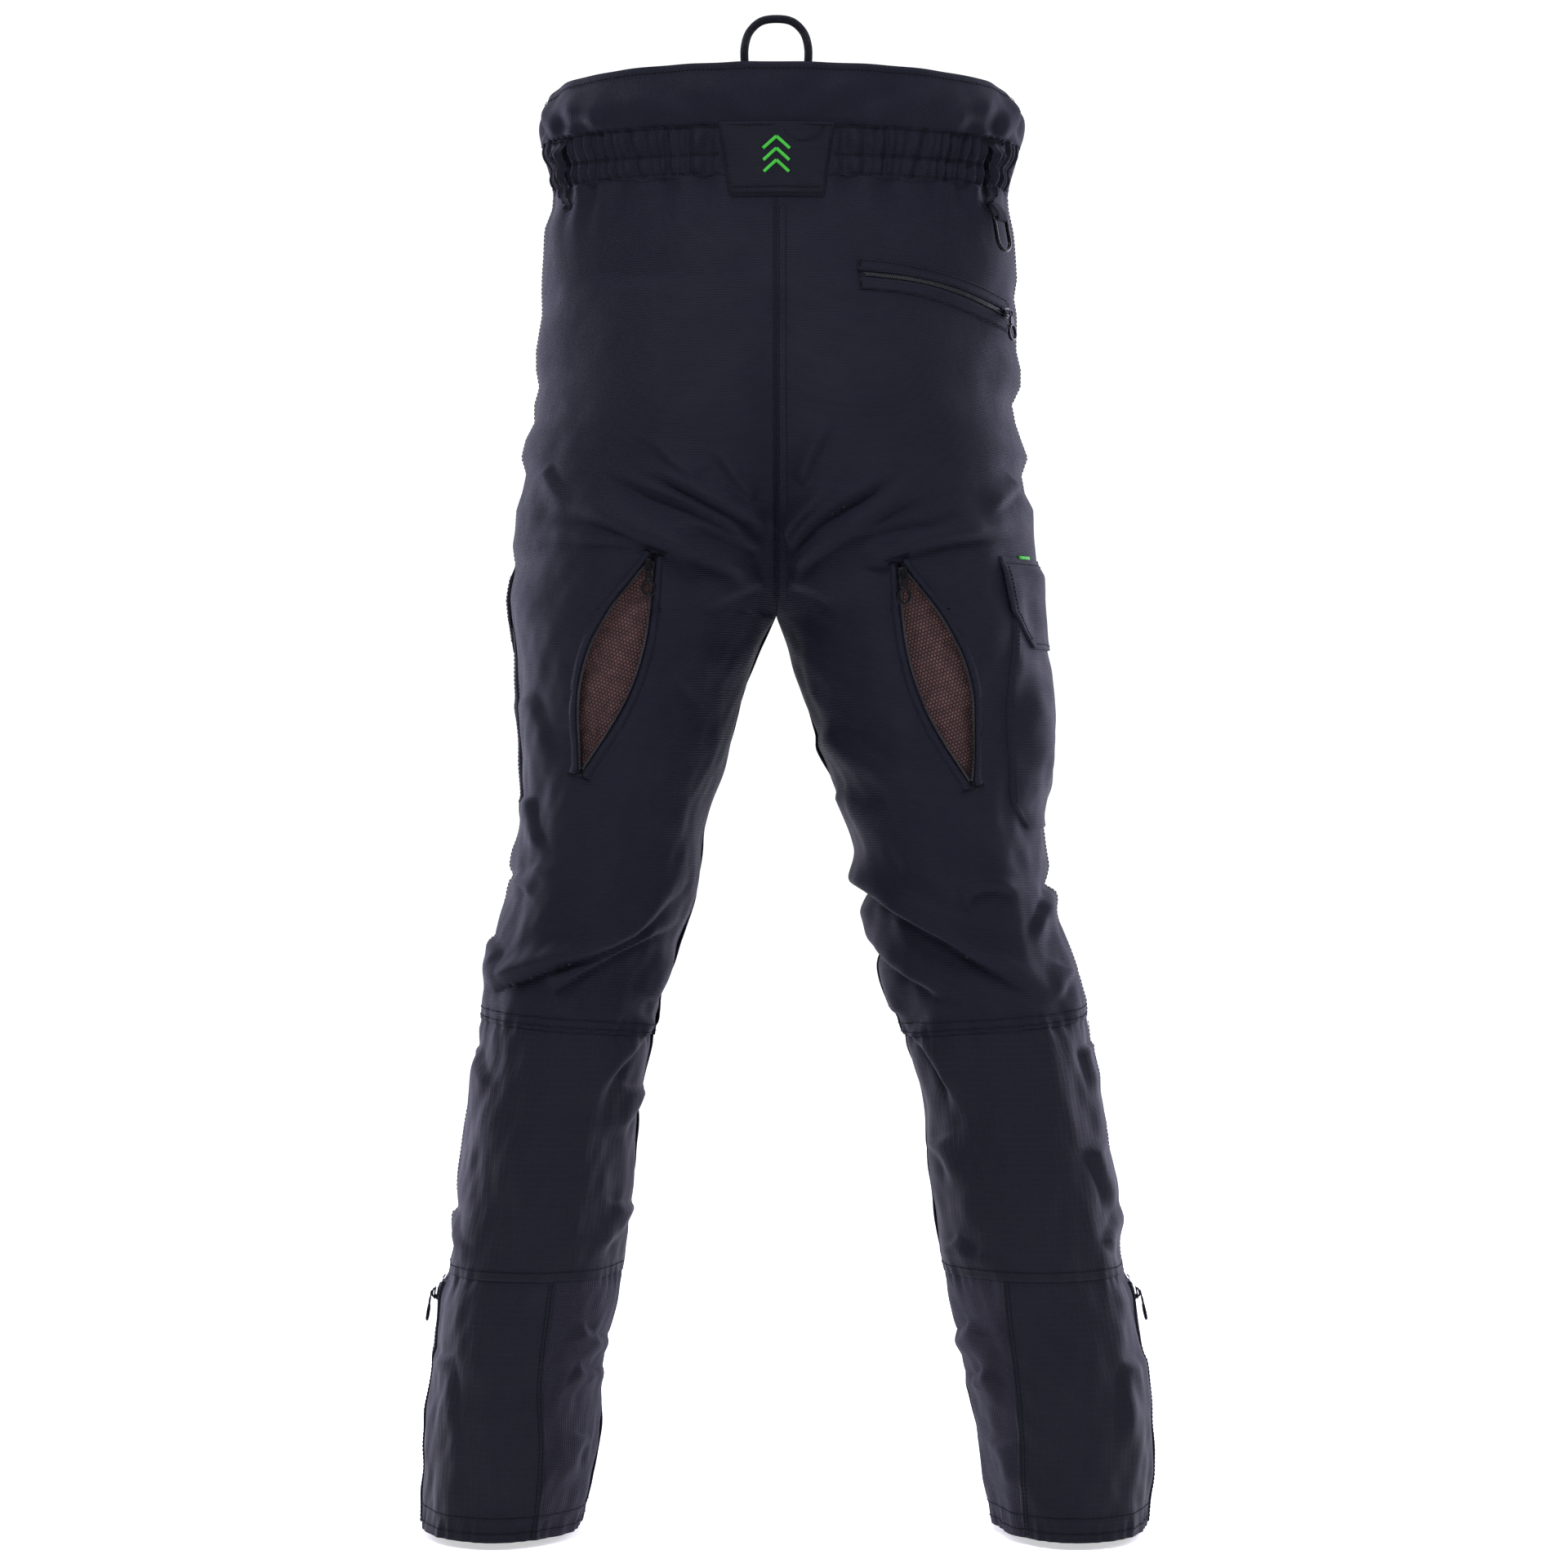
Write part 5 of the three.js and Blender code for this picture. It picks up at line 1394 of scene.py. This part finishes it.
# ---------------------------------------------------------------- cargo pockets
for side in SIDES:
    start, stop = CARGO[side]
    away = SIGN[side]  # from the pocket's front edge to its back edge, for the tag
    full = 8.5 if side == "right" else 4.0
    widening = lambda t: 0.16 * smoothstep(t, 0.1, 0.6) if side == "right" else 0

    def pouch_spot(s, t):
        cut = 0.13 * np.clip((t - 0.91) / 0.09, 0, 1)
        return mix(start, stop + widening(t), mix(cut, 1 - cut, s)), mix(CARGO_TOP, CARGO_TOP - CARGO_DROP, t)

    def pouch_lift(s, t):
        wide = (stop - start) * 105
        near = np.minimum(np.minimum(s, 1 - s) * wide, (1 - t) * CARGO_DROP)
        room = 2.2 + full * np.exp(-((t - 0.6) / 0.27) ** 2)
        return 0.4 + 2.3 * smoothstep(near, -0.2, 1.8) + room * smoothstep(near, 1.5, 36) \
            + 0.5 * smoothstep(near, 0, 10) * waves(s * wide, t * CARGO_DROP, 10, 30, 90, 17)

    def flap_spot(s, t):
        cut = 0.14 * np.clip((t - 0.6) / 0.4, 0, 1)
        return mix(start - 0.045, stop + 0.045, mix(cut, 1 - cut, s)), mix(FLAP_TOP, FLAP_TOP - FLAP_DROP, t)

    def flap_lift(s, t):
        """The flap lies on the pouch, and drops a little beside it."""
        angle, z = flap_spot(s, t)
        down = np.clip((CARGO_TOP - z) / CARGO_DROP, 0, 1)
        share = (angle - start) / (stop + widening(down) - start)
        beside = smoothstep(np.maximum(-share, share - 1), 0.0, 0.05)
        under = np.maximum(pouch_lift(np.clip(share, 0.02, 0.98), down) - 1.05 * beside, 0)
        return mix(1.0, under + 1.8, smoothstep(t, 0.0, 0.2)) + 0.3 * waves(s * 130, t * 70, 8, 25, 70, 19)

    def tag_spot(s, t):
        end = stop if side == "right" else start
        return mix(end - 0.31 * away, end - 0.18 * away, s), mix(FLAP_TOP + 1.6, FLAP_TOP - 0.8, t)

    cloth(f"cargo_pocket_{side}", side, pouch_spot, 64, 90, UPPER, "shell", pouch_lift, turned=1.6)
    flap = cloth(f"cargo_flap_{side}", side, flap_spot, 56, 40, UPPER, "shell", flap_lift, turned=1.8,
                 body=None)
    flap_thread = Build()
    for s0, t0, s1, t1 in ((0.035, 0.1, 0.035, 0.9), (0.965, 0.1, 0.965, 0.9), (0.06, 0.95, 0.94, 0.95),
                           (0.02, 0.07, 0.98, 0.07)):
        path = lambda u: (mix(s0, s1, u), mix(t0, t1, u))
        on = lambda u: surface(side, *flap_spot(*path(u)), flap_lift(*path(u)) + 0.2)
        u = np.linspace(0, 1, 300)
        long = lengths(on(u))
        u = np.interp(np.arange(1.5, long[-1] - 1, STITCH_PITCH), long, u)
        sew(flap_thread, side, on, lambda u: flap_spot(*path(u)), u, 0.004, 0.004)
    flap_thread = flap_thread.piece(f"cargo_flap_{side}_stitches", SEAM_SHADE_THREAD, "trim", None)
    hinge = surface(side, np.array([(start + stop) / 2]), np.array([float(FLAP_TOP)]), 1.0)[0] / 1000
    for piece in (flap, flap_thread):
        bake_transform(piece)
    for s in (0.03, 0.97):
        stitch(side, lambda t: pouch_spot(s, t), 0.02, 0.9, lift=3.0)
    Build().sheet(side, tag_spot, 6, 4, 1.5, 1.4).piece(f"cargo_tag_{side}", GREEN, "trim")


# ---------------------------------------------------------------- fly and button
def front_strip(node, name, half, foot, look, lift, across=10, taper=lambda t: 1):
    """A strip down the middle of the front, over both halves."""
    s, t = np.meshgrid(np.linspace(0, 1, across + 1), np.linspace(0, 1, 51))
    rim = lambda v: np.pad(v, 1, mode="edge")
    z, x = rim(mix(FLY_TOP, foot, t)), rim(mix(half, -half, s) * taper(t))
    rise = rim(lift(s, t)) - np.pad(np.zeros(s.shape), 1, constant_values=1.2)
    points = np.empty(x.shape + (3,))
    for side in SIDES:
        here = (x < 0) == (side == "left")
        points[here] = surface(side, -angle_at(side, np.abs(x[here]), z[here]), z[here], rise[here])
    points[..., 0] = x
    made = Build()
    made.grid(points, np.stack([x, z], -1))
    made.piece(name, look, "trim", node=node)


def fly_line(x, foot):
    """A line down the front at x from the middle, which may change with t."""
    def line(t):
        z = mix(FLY_TOP - 2, foot, t)
        return -angle_at("right", x, z), z
    return line


FLY_TOP = WAIST_SEAM - 0.4
front_strip("fly_placket", "fly_placket_cloth", 21, -204, UPPER,
            lambda s, t: 0.6 + 5.4 * smoothstep(np.minimum(s, 1 - s), 0, 0.28),
            taper=lambda t: 1 - 0.55 * smoothstep(t, 0.86, 1.0))
front_strip(None, "fly_zip_tape", 3.4, -196, TRIM, lambda s, t: 0.7 + 0 * s, 4)
chain = Build()
for way in (1, -1):
    teeth(chain, "right", fly_line(way * 0.7, -194.0), 1.0, way, wide=1.9, high=1.1)
chain.piece("fly_zip_teeth", ZIP_PLASTIC, "zip_teeth", smooth=False, node="fly_zip")
slider("fly", "right", [(-angle_at("right", 0.0, z), z) for z in (FLY_TOP - 11, -185.0)], "fly_slider")
for x, lift in ((17.5, 3.9), (14.5, 5.2)):
    down = lambda t: mix(FLY_TOP - 3, -186.0, t)
    stitch("right", lambda t: (-angle_at("right", x * (1 - 0.5 * smoothstep(t, 0.85, 1)), down(t)), down(t)),
           lift=lift)
button = Build()
button_at, *_ = standing("right", -angle_at("right", 0.0, -3.5), -3.5, DOWN, 0.8)
turn = np.linspace(0, math.tau, 40, endpoint=False)
profile = [(0.3, 2.2), (4.8, 2.2), (5.6, 2.9), (7.2, 3.0), (8.3, 2.4), (8.5, 1.6), (8.0, 0.4), (5.0, 0.0)]
button.grid(np.stack([button_at(np.column_stack([r * np.cos(turn), r * np.sin(turn), np.full(40, h)]))
                      for r, h in profile]), wrap=True)
button.piece("waist_button_metal", BLACK_METAL, "black_metal", node="waist_button")

# ---------------------------------------------------------------- stitched seams
for side in SIDES:
    for facing in (1, -1):
        knee_end = facing * middle_angle(side, KNEE - 8.0)
        for up in (3.0, 9.5):
            stitch(side, straight((0, KNEE + up), (knee_end, KNEE - KNEE_SLOPE + up)), 0.01, 0.99)
        stitch(side, straight((0, CALF_HEM + 7), (facing * np.pi, CALF_HEM + 7)), 0.01, 0.99)
        for up in (7.0, 19.0):
            stitch(side, straight((facing * 0.12, HEM + up), (facing * np.pi, HEM + up)))
    for x in (2.2, 7.5) if side == "right" else (2.2,):
        down = lambda t: mix(-60, CROTCH + 12, t)
        stitch(side, lambda t: (angle_at(side, x, down(t)), down(t)), lift=0.2)
    stitch(side, straight((0.025, WAIST_SEAM - 3), (0.025, KNEE + 4)))
    stitch(side, straight((0.03, KNEE - 4), (0.03, CALF_HEM + 3)))
thread.piece("stitching", SEAM_SHADE_THREAD, "trim")

# ---------------------------------------------------------------- lining and pads
LINING_TOP = 31.0
PAD = {"top": CROTCH - 12, "foot": CALF_HEM + 25, "half": 3.3, "deep": 3.5}
for side in SIDES:
    s, t = np.meshgrid(np.linspace(0, 1, 131), np.linspace(0, 1, 210))
    z = mix(LINING_TOP, HEM + 8, t)
    deep = -CLOTH - 1.2 - 4.5 * smoothstep(z, -8, 6)
    points = surface(side, mix(-1, 1, s) * middle_angle(side, z), z, deep)
    x = points[..., 0]
    points[..., 0] = np.where(z > CROTCH, SIGN[side] * np.maximum(x * SIGN[side], 0), x)
    lining = Build()
    lining.grid(points, np.stack([arcs(points), z], -1), flip=side == "right",
                keep=~in_vent(side, points, LIP + 12))
    lining.piece(f"lining_{side}", LINING, "lining")
    s, t = np.meshgrid(np.linspace(0, 1, 40), np.linspace(0, 1, 80))
    z = mix(PAD["top"], PAD["foot"], t)
    angle = -mix(0.35, np.minimum(middle_angle(side, z) - 0.06, 2.7), s)
    rim = np.minimum(np.minimum(s, 1 - s) * 190, np.minimum(t, 1 - t) * (PAD["top"] - PAD["foot"]))
    quilt = np.minimum(np.abs(np.sin(np.pi * s * 4)), np.abs(np.sin(np.pi * t * 9)))
    half = PAD["half"] * np.sqrt(np.clip(rim / 8, 0, 1)) * (0.55 + 0.45 * quilt ** 0.35)
    centre_lift = -CLOTH - 2.2 - PAD["deep"]
    outer = surface(side, angle, z, centre_lift + half)
    inner = surface(side, angle, z, centre_lift - half)
    uv = np.stack([arcs(outer), z], -1)
    pad = Build()
    pad.grid(outer, uv, flip=side == "left")
    pad.grid(inner, uv, flip=side == "right")
    piece = pad.piece(f"protection_pad_{side}_cover", PADDING, "padding", node=f"protection_pad_{side}")

bpy.context.scene.view_settings.view_transform = "Standard"
